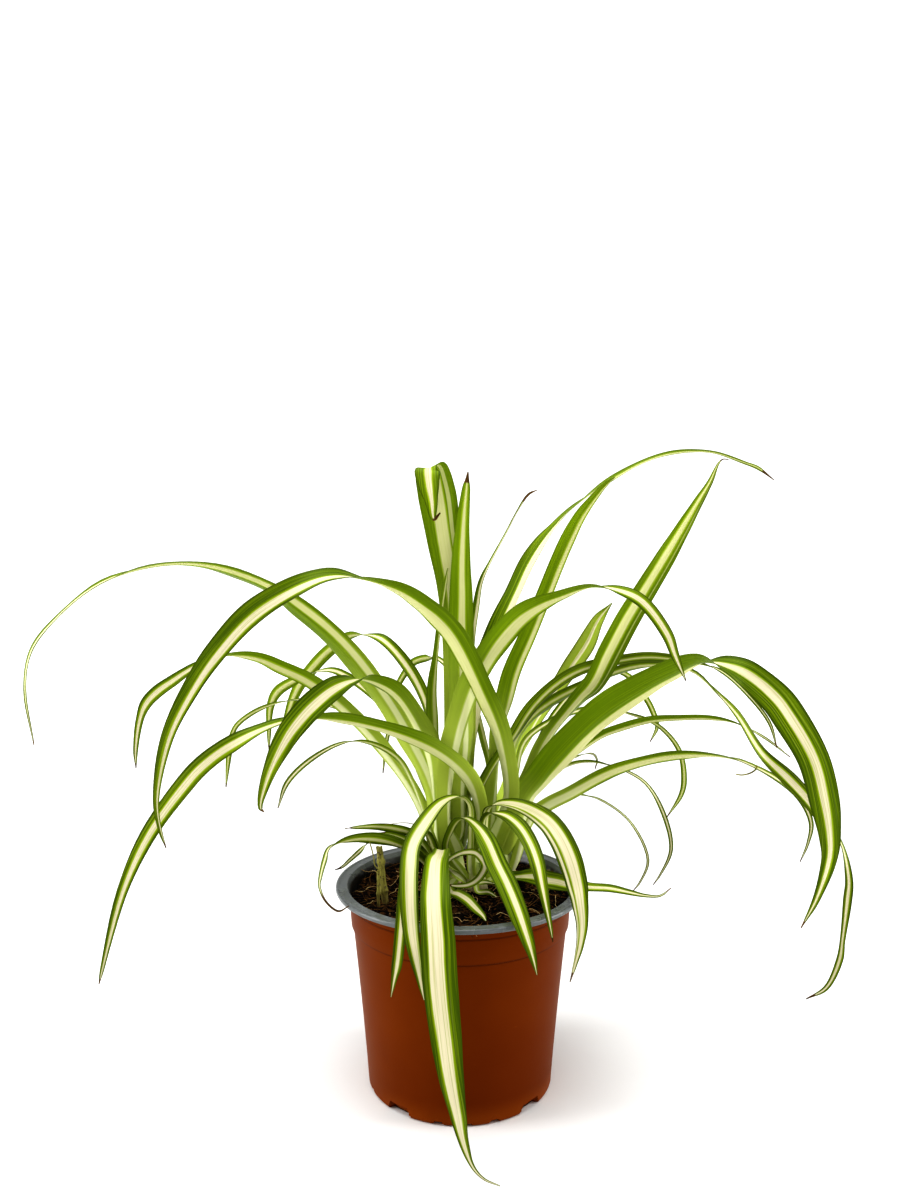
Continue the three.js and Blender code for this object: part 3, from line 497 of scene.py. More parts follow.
def crumbPieces(nodes, spots, given):
    size = nodes.chance(given["Seed"], given["Smallest"], given["Largest"])
    stretch = nodes.chance(given["Seed"], (0.55, 0.5, 0.4), (1.5, 1.1, 0.9))
    turn = nodes.chance(given["Seed"], (-0.6, -0.6, 0.0), (0.6, 0.6, 6.28))
    clod = nodes.add("GeometryNodeMeshIcoSphere", None, {"Radius": 0.5, "Subdivisions": 2})
    many = nodes.add("GeometryNodeInstanceOnPoints", None,
                     {"Points": spots, "Instance": clod, "Rotation": turn,
                      "Scale": nodes.scaled(stretch, size)})
    real = nodes.add("GeometryNodeRealizeInstances", None, {0: many})
    ragged = nodes.noise(nodes.add("GeometryNodeInputPosition"), 900.0, 3.0, 0.7)
    push = nodes.scaled(nodes.add("GeometryNodeInputNormal"), (ragged - 0.5) * given["Ragged"])
    return nodes.add("GeometryNodeSetPosition", None, {"Geometry": real, "Offset": push})


def fibrePieces(nodes, spots, given):
    line = nodes.add("GeometryNodeCurvePrimitiveLine", {"mode": "POINTS"},
                     {"Start": (-0.5, 0.0, 0.0), "End": (0.5, 0.0, 0.0)})
    steps = nodes.add("GeometryNodeResampleCurve", None, {"Curve": line, "Count": 12})
    size = nodes.chance(given["Seed"], given["Shortest"], given["Longest"])
    turn = nodes.chance(given["Seed"], (0.0, -0.35, 0.0), (0.0, 0.35, 6.28))
    many = nodes.add("GeometryNodeInstanceOnPoints", None,
                     {"Points": spots, "Instance": steps, "Rotation": turn,
                      "Scale": nodes.vector(size, size, size)})
    real = nodes.add("GeometryNodeRealizeInstances", None, {0: many})
    wander = nodes.noise(nodes.add("GeometryNodeInputPosition"), 110.0, output=1)
    middle = nodes.add("ShaderNodeVectorMath", {"operation": "SUBTRACT"},
                       {0: wander, 1: (0.5, 0.5, 0.38)})
    bent = nodes.add("GeometryNodeSetPosition", None,
                     {"Geometry": real, "Offset": nodes.scaled(middle, given["Wander"])})
    section = nodes.add("GeometryNodeCurvePrimitiveCircle", None,
                        {"Resolution": 4, "Radius": given["Thickness"]})
    return nodes.add("GeometryNodeCurveToMesh", None,
                     {"Curve": bent, "Profile Curve": section, "Fill Caps": True})


def strewSoil():
    # the open sheet that crumbs and fibres are strewn on, inside the pot's wall
    rings, sides = soil["strewnRings"], soil["strewnSides"]
    points = lumpyTop(soil["edge"] - soil["strewnInset"], rings, sides)
    faces = lathed(sides, rings, closed=False, downwards=True)
    sheet = addObject("soilTopSheet", meshOf("soilTopSheet", points, faces))
    strew(sheet, "mix_crumbs", crumbLook("barkCrumb", "dark", "brown"), crumbPieces,
          {"Density": 120000.0, "Seed": 4, "Smallest": 0.7 * mm, "Largest": 2.6 * mm, "Ragged": 0.9 * mm})
    strew(sheet, "mix_bark_chips", crumbLook("tanCrumb", "brown", "tan"), crumbPieces,
          {"Density": 22000.0, "Seed": 9, "Smallest": 0.5 * mm, "Largest": 1.9 * mm, "Ragged": 0.7 * mm})
    strew(sheet, "mix_fibres", crumbLook("coirFibre", "fibreDark", "fibre"), fibrePieces,
          {"Density": 60000.0, "Seed": 12, "Shortest": 4.0 * mm, "Longest": 15.0 * mm,
           "Wander": 6.0 * mm, "Thickness": 0.13 * mm})
    strew(sheet, "mix_fine_roots", crumbLook("paleRoot", "rootDark", "root"), fibrePieces,
          {"Density": 9000.0, "Seed": 21, "Shortest": 8.0 * mm, "Longest": 20.0 * mm,
           "Wander": 9.0 * mm, "Thickness": 0.17 * mm})
    bpy.data.objects.remove(sheet)


makeSoil()
strewSoil()
print("stage: potting mix")

# Leaf shape, shared by all blades; lengths in mm
blade = {
    "sheet": 536.0, "rootSink": 2.3, "neckOut": 0.8, "neckRise": 4.5, "rootWidth": 2.8, "fullShare": 0.34,
    "tipPower": 1.7, "least": 0.35, "clasp": 0.78, "crownDrop": 0.62, "crownPower": 1.5,
    "stepsPerSpan": 6, "columns": 10, "thickness": 0.5, "edgeThickness": 0.16, "edgePower": 1.5,
    "foldAtRoot": 0.26, "foldInBlade": 0.1, "foldReach": 1.6, "foldPower": 1.35,
    "ripple": 0.035, "rippleTurn": 0.16, "dryCurl": 0.12, "dryFade": 0.3, "broadWidth": 6,
    "thinShare": 0.55, "narrowStripe": 0.72, "narrowShade": 0.8, "probe": 0.02, "evenings": 4,
    "rootTurnEnd": 1.8, "rootTurnSpans": 1.2, "stripeSpread": 0.07, "shadeSpread": 0.08, "seed": 7,
}
# What differs from leaf to leaf: stripe half width, shade (0 light, 1 dark), dry tip in mm, then how
# far the stripe stands aside on the face that the lower part shows, its half width there, and how
# far it stands aside on the other face
# shade is partly the leaf's own darker green and partly painted shade on leaves that hang in shade, such as
# the front and low ones; below zero it is painted light
looks = {
    "top_leaf_1": (0.3, 0.15, 5, 0.05, 0.36), "top_leaf_2": (0.24, 0.1, 6, -0.1, 0.27),
    "top_leaf_3": (0.3, 0.3, 0, -0.4), "top_leaf_4": (0.4, -0.2, 11, 0.4),
    "left_leaf_1": (0.3, 0.5, 3, 0.38, 0.5, -0.3), "left_leaf_2": (0.34, 0.4, 4, -0.42, 0.24),
    "left_leaf_3": (0.36, 0.3, 3, 0.3, 0.42), "left_leaf_4": (0.32, 0.4, 2, 0.25, 0.38, -0.15),
    "left_leaf_5": (0.38, 0.4, 3, 0.3, 0.5, -0.2), "left_leaf_6": (0.34, 0.4, 2),
    "right_leaf_1": (0.38, 0.25, 2, -0.34, 0.4), "right_leaf_2": (0.28, 0.35, 4, -0.72, 0.3),
    "right_leaf_3": (0.3, 0.5, 5, 0.08, 0.32), "right_leaf_4": (0.36, 0.35, 0, -0.62, 0.22),
    "right_leaf_5": (0.32, 0.3, 9, 0.5, 0.5), "right_leaf_6": (0.38, 0.9, 6, 0.25, 0.2),
    "right_leaf_7": (0.22, 1.0, 3), "right_leaf_8": (0.34, 0.7, 3, -0.05, 0.5),
    "right_leaf_9": (0.34, 0.15, 3, -0.5, 0.4), "right_leaf_15": (0.34, 0.7, 3),
    "right_leaf_16": (0.2, -0.7, 0), "front_leaf_1": (0.48, 0.7, 0, 0, 0.42, -0.08),
    "front_leaf_2": (0.44, 0.6, 0, 0, 0.44, 0.19), "front_leaf_3": (0.27, 0.7, 0),
    "front_leaf_4": (0.29, 0.85, 2), "front_leaf_5": (0.44, 0.8, 5), "front_leaf_6": (0.36, 0.75, 0),
    "front_leaf_7": (0.5, 0.55, 2), "front_leaf_8": (0.38, 0.85, 0), "low_leaf_1": (0.3, 1.0, 22),
}
# the high usual shade of the front and low leaves is mostly painted shade, for leaves that hang below the
# others
usualLooks = {"left": (0.36, 0.35, 3), "right": (0.34, 0.45, 3), "top": (0.3, 0.2, 3),
              "front": (0.4, 0.95, 0), "low": (0.36, 0.95, 4), "young": (0.4, 0.7, 0)}
# leaves with a second, thinner stripe: where it stands, its half width and its strength on the
# face that the lower part shows and on the other face
twins = {"top_leaf_1": (-0.56, 0.1, 0.7, 0), "front_leaf_1": (-0.66, 0.05, 0.8, 0.8),
         "front_leaf_5": (0.7, 0.1, 0.9, 0.9), "right_leaf_3": (-0.62, 0.04, 0.5, 0.5)}
# how far up from its root a leaf is pale, mm
paleRuns = {
    "top_leaf_1": 150, "top_leaf_2": 120, "left_leaf_1": 100, "left_leaf_2": 140, "left_leaf_3": 130,
    "left_leaf_4": 110, "left_leaf_5": 95, "right_leaf_1": 130, "right_leaf_2": 55, "right_leaf_4": 90,
    "right_leaf_7": 40, "right_leaf_15": 16,
}
usualPaleRuns = {"left": 80, "right": 80, "top": 80, "front": 24, "low": 22, "young": 18}

# Leaf routes as seen from the front. Each leaf has its shoot, the side of it that the leaf leaves, in
# degrees from +X, the height there and the blade's width. Then come the route's points: mm across and
# up on an upright sheet before the eye, mm behind the pot's middle, and how wide the blade looks
# there, below zero where its underside shows.
leaves = {
    "left_leaf_1": ("right", 235, 10, 12.5,
        "28.5 -100 10 -7, 25 -70 2 -9.5, 15 -45 -7 -11, 2.5 -20 -14 -11.5, -5 -10.8 -18 -12, "
        "-15 -2.5 -22 -9, -25 4 -25 -6, -42.5 10 -31 -2, -60 12 -37 7.5, -80 5.3 -44 10.5, "
        "-99.3 -6.5 -50 12.5, -117 -25.6 -55 11, -130 -45 -59 9, -141.5 -69 -62 6.5, -147 -100 -64 3, "
        "-145 -115 -64 2, -142 -124 -64 0.6"),
    "left_leaf_2": ("left", 202, 13, 12.5,
        "-10.5 -95 14 -8, -23.3 -68.3 13.5 -10, -33.4 -51 12 -10.5, -56 -22.2 9 -11, -75.8 -5.2 6 -9, "
        "-92.8 6.2 3 -6, -122.5 16.3 -2 -3, -145 17 -5 -1, -174.5 8.2 -8 1.5, -198.3 -10.9 -10 1.5, "
        "-209.4 -26 -11 1.5, -212.4 -45 -12 1.5, -208 -72.5 -13 0.6"),
    "left_leaf_3": ("left", 174, 9, 8,
        "-16 -101 20.5 -6, -38.5 -68.7 19.5 -7.5, -67.5 -42.2 12 -7.5, -85 -33.6 9 -7, -97.5 -28.8 6 -4.5, "
        "-114 -28.2 3 -1, -129.5 -34.5 0 4.5, -139 -40.6 -1.5 6, -146.4 -45.8 -3 6.5, -151.9 -51.6 -4 6, "
        "-155 -59.3 -5 4, -157.2 -75 -6 2.5, -157 -84 -6 0.6"),
    "left_leaf_4": ("left", 228, 10, 14,
        "-7 -108 7.5 -5, -10.5 -76.5 6 -9, -15.5 -64 5 -10, -28 -46.2 -4 -9, -42.5 -39.8 -14 -4.5, "
        "-49.7 -40.8 -19 5.5, -59.2 -44.8 -24 12, -68.1 -51.8 -28 13.5, -75.6 -59.8 -31 13, "
        "-82.6 -69.7 -34 11.5, -91.6 -89.3 -37 6, -94.8 -104 -38 2, -93 -106 -38 0.6"),
    "left_leaf_5": ("front", 60, 6, 10,
        "15 -122 9 -4, 14 -102.5 6 -7, 8.5 -88.5 0 -9, -5 -76.5 -5 -8.5, -25 -67.5 -9 -7, "
        "-50 -61 -12 -5.5, -70 -59.5 -15 -2, -87.5 -62.5 -18 4, -111.8 -73.6 -26 9, -124.3 -82.8 -32 9.5, "
        "-133.5 -93 -37 9.5, -151 -117.5 -47 8, -164 -146 -54 5.5, -174 -185 -58 2, -175.5 -192 -58 0.6"),
    "left_leaf_6": ("left", 246, 6, 3.5,
        "-12 -110 5 -1.5, -19 -91 3 -2.5, -27 -78.5 0 -3, -42.5 -71 -3 -2, -55 -72 -5 1.5, -70 -80 -7 2.8, "
        "-81.5 -91.5 -8 2.8, -86 -104 -8 0.6"),
    "left_leaf_7": ("left", 122, 15, 7.5,
        "-7 -80 37.5 4, -12.3 -52 39.5 5, -21 -34 43.5 6.5, -33.6 -20.2 45 5, -42 -17.7 51 1, "
        "-50 -18 54.5 -4, -60 -25 60.5 -6.5, -67.5 -32.5 64 -6.5, -76.5 -45 68 -5.5, -82.5 -62.5 72 -3, "
        "-85 -75 72 -0.6"),
    "left_leaf_8": ("left", 136, 6, 6,
        "-9 -106 29.5 3, -13.5 -93 32 3, -30 -57.5 33 3.5, -55 -36.5 34 4, -64 -35.5 32 2, "
        "-78.2 -40.6 35.5 -5, -86.2 -45.8 37.5 -5.5, -89.8 -53.2 39.5 -4, -90.5 -67.5 39.5 -2, "
        "-90.5 -75 39.5 -0.6"),
    "left_leaf_9": ("left", 160, 3, 5,
        "-14 -107 25.8 2, -19 -92 27.8 2, -35 -70 26.5 2.5, -52.5 -56 26 2.5, -62.5 -52.5 26 2, "
        "-75 -50 24 1, -92.5 -53.5 24 -2, -105 -61 24 -2.5, -108.5 -66 24 -2.5, -110.5 -77.5 24 -3, "
        "-112 -93.5 24 -0.6"),
    "left_leaf_10": ("left", 88, 10, 4.5,
        "0 -90 35.5 2, 0 -36 43.5 3, -7 -29 45 2.5, -11.5 -29 51 -4, -18 -31 54.5 -4, "
        "-22.5 -36.5 58.5 -3.5, -26.5 -44 60.5 -3, -28.5 -55 62.5 -2.5, -32 -72.5 64 -2, "
        "-33.5 -86.5 64 -0.6"),
    "top_leaf_1": ("left", 75, 18, 16,
        "4 -90 20.4 -11, 5 -50 21 -13, 3.8 -20 19 -14, 0.8 8 17 -15, -3 30 14 -17, -6 50 11 -19.5, "
        "-8 60 8 -18.5, -9.6 65.6 4.5 -16.5, -11.2 65.2 0.5 14, -10.6 57 -2.5 10.5, -9.3 49 -3.5 6.5, "
        "-7.9 40.6 -4 2.4, -4.9 43.6 -4.5 0.8"),
    "top_leaf_2": ("left", -15, 18, 13,
        "6 -95 13 -8, 7.5 -70 12 -11, 6 -45 12 -12, 5.5 -20 11 -13, 5.5 0 10 -12, 5.5 20 9 -9.5, "
        "6.5 40 8 -6.5, 8 55 7 -4.5, 9 64 7 -0.8"),
    "top_leaf_3": ("left", 165, 19, 6,
        "-7 -90 19 -3, -8.8 -62.5 18 -6.5, -9 -45 16.5 -5, -7 -27.5 14 -2.5, -4.5 -5 12 -2.5, "
        "-2.5 8 11 -2, -1 16 11 -0.6"),
    "top_leaf_4": ("right", 165, 12, 3.5,
        "20 -85 32 2.5, 16 -67.5 32 3.5, 12 -50 34 3.5, 10.5 -25 35.5 3.5, 13 -3 35.5 3.5, "
        "15.4 9.4 35.5 2.4, 19.5 18 35.5 1.3, 28.4 34.4 35.5 0.9, 33.1 43.6 35.5 0.8, 39.2 52.8 35.5 1.5, "
        "43.5 55 35.5 0.5"),
    "right_leaf_1": ("left", -65, 10, 13,
        "-0.5 -115 4.5 -6, -0.5 -90 2 -9, 2.5 -70 1 -11, 10 -45 0 -12, 17.5 -30 -1 -12.5, 25 -19 -3 -13, "
        "35 -8.5 -6 -11.5, 45 -2.5 -9 -9, 55 1.5 -13 -6, 71 6.4 -17 -1.2, 86.3 4 -20 5, 96.3 -0.9 -23 6.5, "
        "108.5 -17 -25 6, 112.5 -27.5 -25 4.5, 118 -40.5 -25 0.6"),
    "right_leaf_2": ("right", -45, 10, 16,
        "37.5 -100 12 -12, 45 -90 10 -13, 55 -77.5 8 -15, 75 -58 4 -15, 95 -45 -1 -14, 110 -37.2 -5 -11, "
        "125 -31.3 -9 -5, 138.3 -33.3 -13 8, 149.8 -38.2 -17 14, 163.2 -49.6 -21 16.5, 170 -59 -24 17, "
        "181.6 -79.3 -28 15.5, 187 -99.6 -31 15, 190 -120 -33 10, 189.5 -130 -34 7.5, 183 -150 -36 3.5, "
        "175.5 -164 -37 0.6"),
    "right_leaf_3": ("right", -12, 13, 11.5,
        "33.5 -102.5 19 -5, 41.5 -86 18 -6, 50 -68.5 17 -6, 65 -50 16 -7, 72 -42.5 15 -10, "
        "79.5 -27.5 14 -12.5, 88.8 -9.8 13 -12, 97.5 4.5 12 -11, 107.3 20.5 11 -10, 116.2 35.5 10 -7.5, "
        "124 48.8 9 -5, 130.2 59.3 8 -2.8, 134.4 68.5 8 -1, 136.5 70.4 8 -0.6, 139.3 70.2 8 -0.5"),
    "right_leaf_4": ("right", 200, 17, 9.5,
        "23.5 -80 21 -4, 24.5 -65 21 -7, 27.5 -50 21 -9, 31.3 -35 21 -9, 38.8 -17.5 21 -8.5, "
        "46.2 0.3 21 -8, 53.7 18.9 21 -7.7, 58.8 30.4 21 -7.5, 65 42 21 -6, 71.9 51.2 21 -4, "
        "77.5 57.5 21 -2.5, 82.5 61.5 21 -0.6"),
    "right_leaf_5": ("left", 30, 12, 11,
        "10.5 -85 27.6 5, 13 -51 28.5 8.5, 16.3 -33.5 29 9.5, 21.5 -21 29 10, 26.6 -8.5 30 9, "
        "32.6 4.2 32 8, 39 18 34 7, 46 29 35.5 6, 53.4 38 37.5 3, 60.8 45.5 39.5 1, 78 58.2 43.5 -2.5, "
        "95 68 47 -2.5, 107.5 72.5 49 -2, 120 74.2 51 -1.7, 132.5 73.5 53 -1.5, 147.5 68.5 54.5 -1.5, "
        "154 66 54.5 -2, 162 60 54.5 -0.5"),
    "right_leaf_6": ("right", 32, 11, 7.5,
        "32 -75.5 32 -4, 38.6 -62.3 30 -4.5, 48.4 -53.4 30 -5, 68 -42.8 29 -4.5, 95 -33.5 27 -3.5, "
        "120 -35.5 22 -1, 135 -48.5 17 1.5, 143.4 -57.8 14 3, 155.4 -76.2 10 5, 168.8 -88.8 7 8, "
        "178.4 -99.2 5 7.5, 190 -115 2 4, 195 -121 0 0.8, 199.5 -140 -4 4, 198.8 -150 -5 4.5, "
        "196.3 -170 -8 2.5, 194.8 -180 -9 3.5, 188 -194 -10 2.5, 178 -199.5 -11 0.6"),
    "right_leaf_7": ("right", 205, 4, 7,
        "14 -100 15 -3, 20 -86 14.5 -4, 31.8 -68.3 16 -5, 41 -54 18 -6, 53.3 -42.1 19.5 -6, "
        "65.5 -35 20 -5.5, 80 -31.2 20 -5, 100 -28.5 19.5 -5, 125 -32 18 -2, 135 -35.5 17 2, "
        "147.5 -46 15 2, 159.5 -61 13 2, 163.5 -74 12 0.6"),
    "right_leaf_8": ("right", -33, 1, 7.5,
        "40 -110 20 -6, 47.5 -103.4 21 -7, 60.3 -97 21 -7, 75 -89 21 -6.5, 85 -84.8 21 -6, "
        "105 -79.5 23 -5, 120 -78 24 -4, 135 -78.5 25 -1.5, 147.5 -81.5 26 2, 172.5 -96.5 27 3, "
        "180.5 -111 27 2.5, 179 -121.5 27 1.5, 175 -131 27 0.5"),
    "right_leaf_9": ("right", 22, 6, 5,
        "45 -92 43.5 -3, 55 -82.5 45 -3.5, 75 -68 45 -4, 85 -64 45 -4, 100 -60 45 -3.5, 115 -59 45 -3, "
        "130 -59 45 -2.5, 142.5 -61.5 45 -1, 157.5 -69 45 1.5, 170 -78.5 45 0.5"),
    "right_leaf_10": ("right", 90, 11, 4,
        "35 -100 60.5 2, 47.5 -65 79.5 3, 62.5 -45 85 3, 75 -36.5 87 2.5, 87.5 -37 87 -3, "
        "97.5 -48.5 87 -3, 101.5 -56 87 -3, 103.5 -63.5 87 -2, 100 -71 87 -0.5"),
    "right_leaf_11": ("right", 60, 6, 4,
        "33.5 -87.5 39.5 2.5, 37.5 -71 45 3, 50 -61 51 3, 62.5 -56 54.5 3, 73.5 -54 56.5 2, "
        "87.5 -56.5 58.5 -1, 103.5 -62.5 58.5 -2, 114.5 -75 58.5 -2.5, 117 -90 58.5 -3, "
        "115.5 -97.5 58.5 -2.5, 108.5 -108.5 56.5 -0.5"),
    "right_leaf_12": ("right", 0, 4, 3.2,
        "40 -102.5 31 -1.5, 52.5 -87.5 31 -1.5, 60 -82.5 30 -2, 70 -81 32 -1.5, 83.5 -84 34 1, "
        "97.5 -91.5 35.5 1.5, 107 -107.5 37.5 2.5, 110.5 -125 37.5 2, 105 -137.5 37.5 1, "
        "101.5 -142.5 37.5 0.5"),
    "right_leaf_13": ("right", -2, 0.5, 2.5,
        "40 -107.5 27 -1, 55 -97.5 27.5 -1, 65 -97.5 27 -1, 75 -100 28 1, 90 -111 29 1.2, 99 -130 29 1.5, "
        "95 -141 29 1, 91.5 -145.5 29 0.5"),
    "right_leaf_14": ("right", 42, 0.5, 2,
        "42 -98 51 -1, 55 -83 53 -1.2, 62.5 -78.5 53 -1.2, 71.5 -77 54.5 1.2, 73.5 -80 54.5 1, "
        "72.5 -84.5 54.5 0.5"),
    "right_leaf_15": ("front", -5, 0.5, 8,
        "32 -139 -1 4, 37.5 -138.5 -6 7, 43 -138.5 -11 8.5, 48.5 -140 -15 9, 54 -141 -18 8.5, "
        "61 -143 -22 7, 70 -144 -25 4.5, 80 -144.5 -28 4, 90 -146.5 -30 2.5, 97.5 -148 -31 1.5, "
        "105 -148 -32 1, 110.5 -144 -32 0.5"),
    "right_leaf_16": ("right", 120, 15, 9.5,
        "29 -95 51 4, 35 -77.5 60.5 5, 43.3 -60.3 66 6, 55.8 -40.4 68 8, 60.7 -33 68 9, 68 -22 68 9.5, "
        "74 -10 68 6, 81 -1.5 68 0.6"),
    "front_leaf_1": ("front", 235, 6, 6,
        "10 -112 -6 -3, 9.5 -103 -9 -3, 6 -99 -13 -2, 0 -99.5 -20 3, -6 -103 -28 6, -12.5 -111 -37 8, "
        "-19 -122.5 -47 9, -20.5 -135 -56 9.5, -20.5 -150 -64 9.5, -19.5 -165 -69 8.5, -18 -175 -72 7, "
        "-14.5 -192.5 -75 3, -13 -200 -76 0.6"),
    "front_leaf_2": ("left", 272, 1.6, 6,
        "-5 -136 1 -4, -5 -129.5 -8 -5, -4.4 -126.5 -18 -7.5, -4 -125.3 -28 8, -5 -127.8 -41 9, "
        "-6.6 -132 -55 12, -7.3 -150 -71 15.5, -6 -170 -80 17.5, -5 -190 -86 18, -2 -218.5 -92 16, "
        "0.5 -238 -96 13, 4 -257 -98 8.5, 7 -271.5 -100 5, 11.5 -283.5 -101 2, 17 -289.5 -101 1.2, "
        "25 -293 -101 0.6"),
    "front_leaf_3": ("front", 185, 3, 5,
        "-1.5 -125 -1 -3, 1 -115 -7 -4, 4 -110.5 -12 -3, 8 -109.5 -19 2, 14 -114 -27 6, 18.5 -121 -34 10, "
        "23.5 -132.5 -42 11, 28.5 -142.5 -49 11, 34 -156 -57 10, 38.5 -169 -63 7, 41.5 -179 -66 4, "
        "43.5 -187.5 -68 0.6"),
    "front_leaf_4": ("front", -35, 5, 5,
        "17 -111 -4 -3, 20 -107 -9 -2, 24 -107 -15 4, 29 -108.5 -21 6, 35 -113.5 -28 8, 40 -121.5 -35 8, "
        "43.5 -131 -42 8, 46 -142.5 -48 6, 48 -152.5 -53 4, 50 -162.5 -57 2.5, 51.5 -171 -60 0.6"),
    "front_leaf_5": ("front", 0, 8, 6,
        "19 -106 2 -3, 23 -102.5 -3 3, 32.5 -102.5 -12 6, 40 -105 -18 8, 49 -111 -25 11, 55 -119 -31 12, "
        "60 -130 -37 12.5, 63.5 -142.5 -42 11, 65 -151.5 -46 8.5, 66 -162.5 -49 6, 65 -172.5 -52 4, "
        "62.5 -182.5 -54 2, 60 -191 -55 0.6"),
    "front_leaf_6": ("left", 247, -0.6, 5,
        "-11 -118 1 -2, -15.5 -117 -11 2, -19 -125 -28 4, -23 -142.5 -44 5, -24.5 -162.5 -57 6, "
        "-26.5 -182 -62 5.5, -28 -190 -63 3, -29.5 -198.5 -64 0.6"),
    "front_leaf_7": ("front", 200, 0.5, 4,
        "-1 -132 -6 2, 2.5 -128.5 -9 2.5, 7.5 -126.5 -12 3, 12.5 -126.5 -13 3.5, 16 -129.5 -14 4, "
        "17.5 -133 -15 4, 16 -137 -15 4, 13 -140.5 -14 3.5, 9 -142.5 -13 3, 4 -143 -12 2.5, "
        "-1 -142.5 -11 1"),
    "front_leaf_8": ("left", 292, -1.6, 6,
        "-1 -143 -3 3, 1 -146.5 -13 4.5, 4 -147.3 -17 5.5, 8.5 -150 -24 6.2, 12.5 -154 -31 5.4, "
        "16.5 -158 -37 3.2, 18 -160.5 -40 0.8"),
    "low_leaf_1": ("left", 216, -0.8, 7,
        "-20 -125.5 -4 -5.5, -35 -120 -17 -6.5, -50 -120 -22 -4, -60 -124 -25 1.5, -62.3 -130 -26 3, "
        "-64.5 -138.5 -28 2, -65 -143 -29 1.2, -62 -150.5 -31 1, -56 -155.5 -33 1, -50.5 -153 -37 0.6"),
    "low_leaf_2": ("left", 190, 5, 5.5,
        "-17.5 -118 11 -4, -27.5 -114.6 9.5 -4.7, -37.5 -113.4 8 -3, -47.5 -113.8 7 -1.6, "
        "-52.5 -114.3 6 0.6"),
    "low_leaf_3": ("left", 205, 2.8, 5.5,
        "-18 -122.5 7 -4, -24 -119.3 5 -4.5, -30 -117.3 3 -3, -36 -116.6 1 -0.8"),
    "low_leaf_4": ("left", 184, -0.8, 3,
        "-17.5 -127 12 -1.5, -27.5 -122.5 11 -2, -39 -120.5 9 -2, -45 -125.5 7 2.5, -50 -130 5 2, "
        "-54 -133.5 3 1.4, -57.5 -135 1 0.5"),
    "young_leaf_1": ("front", -95, 0.5, 3,
        "14 -146 -8 2.4, 19 -146 -10 3, 23.5 -148.5 -14 0.8"),
    "young_leaf_2": ("front", -64, 2.8, 2.6,
        "13.5 -141.5 -6 2, 17.5 -141 -9 2.8, 22 -141.8 -13 0.8"),
}
# the blades that lie flat and bend straight over, where others turn on their length
creased = ("top_leaf_1", "front_leaf_2")

down = math.radians(camera["down"])


def sightLine(across, up):
    depth = blade["sheet"]
    ahead = depth * math.cos(down) + up * math.sin(down)
    return Vector((across, ahead, up * math.cos(down) - depth * math.sin(down)))


def placeOf(across, up, behind):
    line = sightLine(across, up)
    return line * ((behind - eye.y) / line.y) + eye


def crownRadius(shoot, height):
    up = min(max(height / shoot["height"], 0), 1)
    return shoot["radius"] * (1 - blade["crownDrop"] * up ** blade["crownPower"])


def easedValue(values, place):
    index = min(int(place), len(values) - 2)
    part = place - index
    return values[index] + (values[index + 1] - values[index]) * part * part * (3 - 2 * part)


def splinePlace(points, place):
    # centripetal spline through the points; place counts spans from the first point
    index = min(int(place), len(points) - 2)
    part = place - index
    one, two = points[index], points[index + 1]
    before = points[index - 1] if index else one * 2 - two
    after = points[index + 2] if index + 2 < len(points) else two * 2 - one
    gaps = [(a - b).length_squared ** 0.25 for a, b in ((one, before), (two, one), (after, two))]
    middle = gaps[1] if gaps[1] > 1e-4 else 1.0
    first, last = [gap if gap > 1e-4 else middle for gap in (gaps[0], gaps[2])]
    leaveOne = ((one - before) / first - (two - before) / (first + middle) + (two - one) / middle) * middle
    reachTwo = ((two - one) / middle - (after - one) / (middle + last) + (after - two) / last) * middle
    square, cube = part * part, part ** 3
    return (one * (2 * cube - 3 * square + 1) + leaveOne * (cube - 2 * square + part)
            + two * (3 * square - 2 * cube) + reachTwo * (cube - square))


def strapWidth(widest, share):
    full = blade["fullShare"]
    if share < full:
        root = max(blade["rootWidth"], widest * blade["clasp"])
        return root + (widest - root) * math.sin(share / full * math.pi / 2)
    return widest * (1 - ((share - full) / (1 - full)) ** blade["tipPower"])


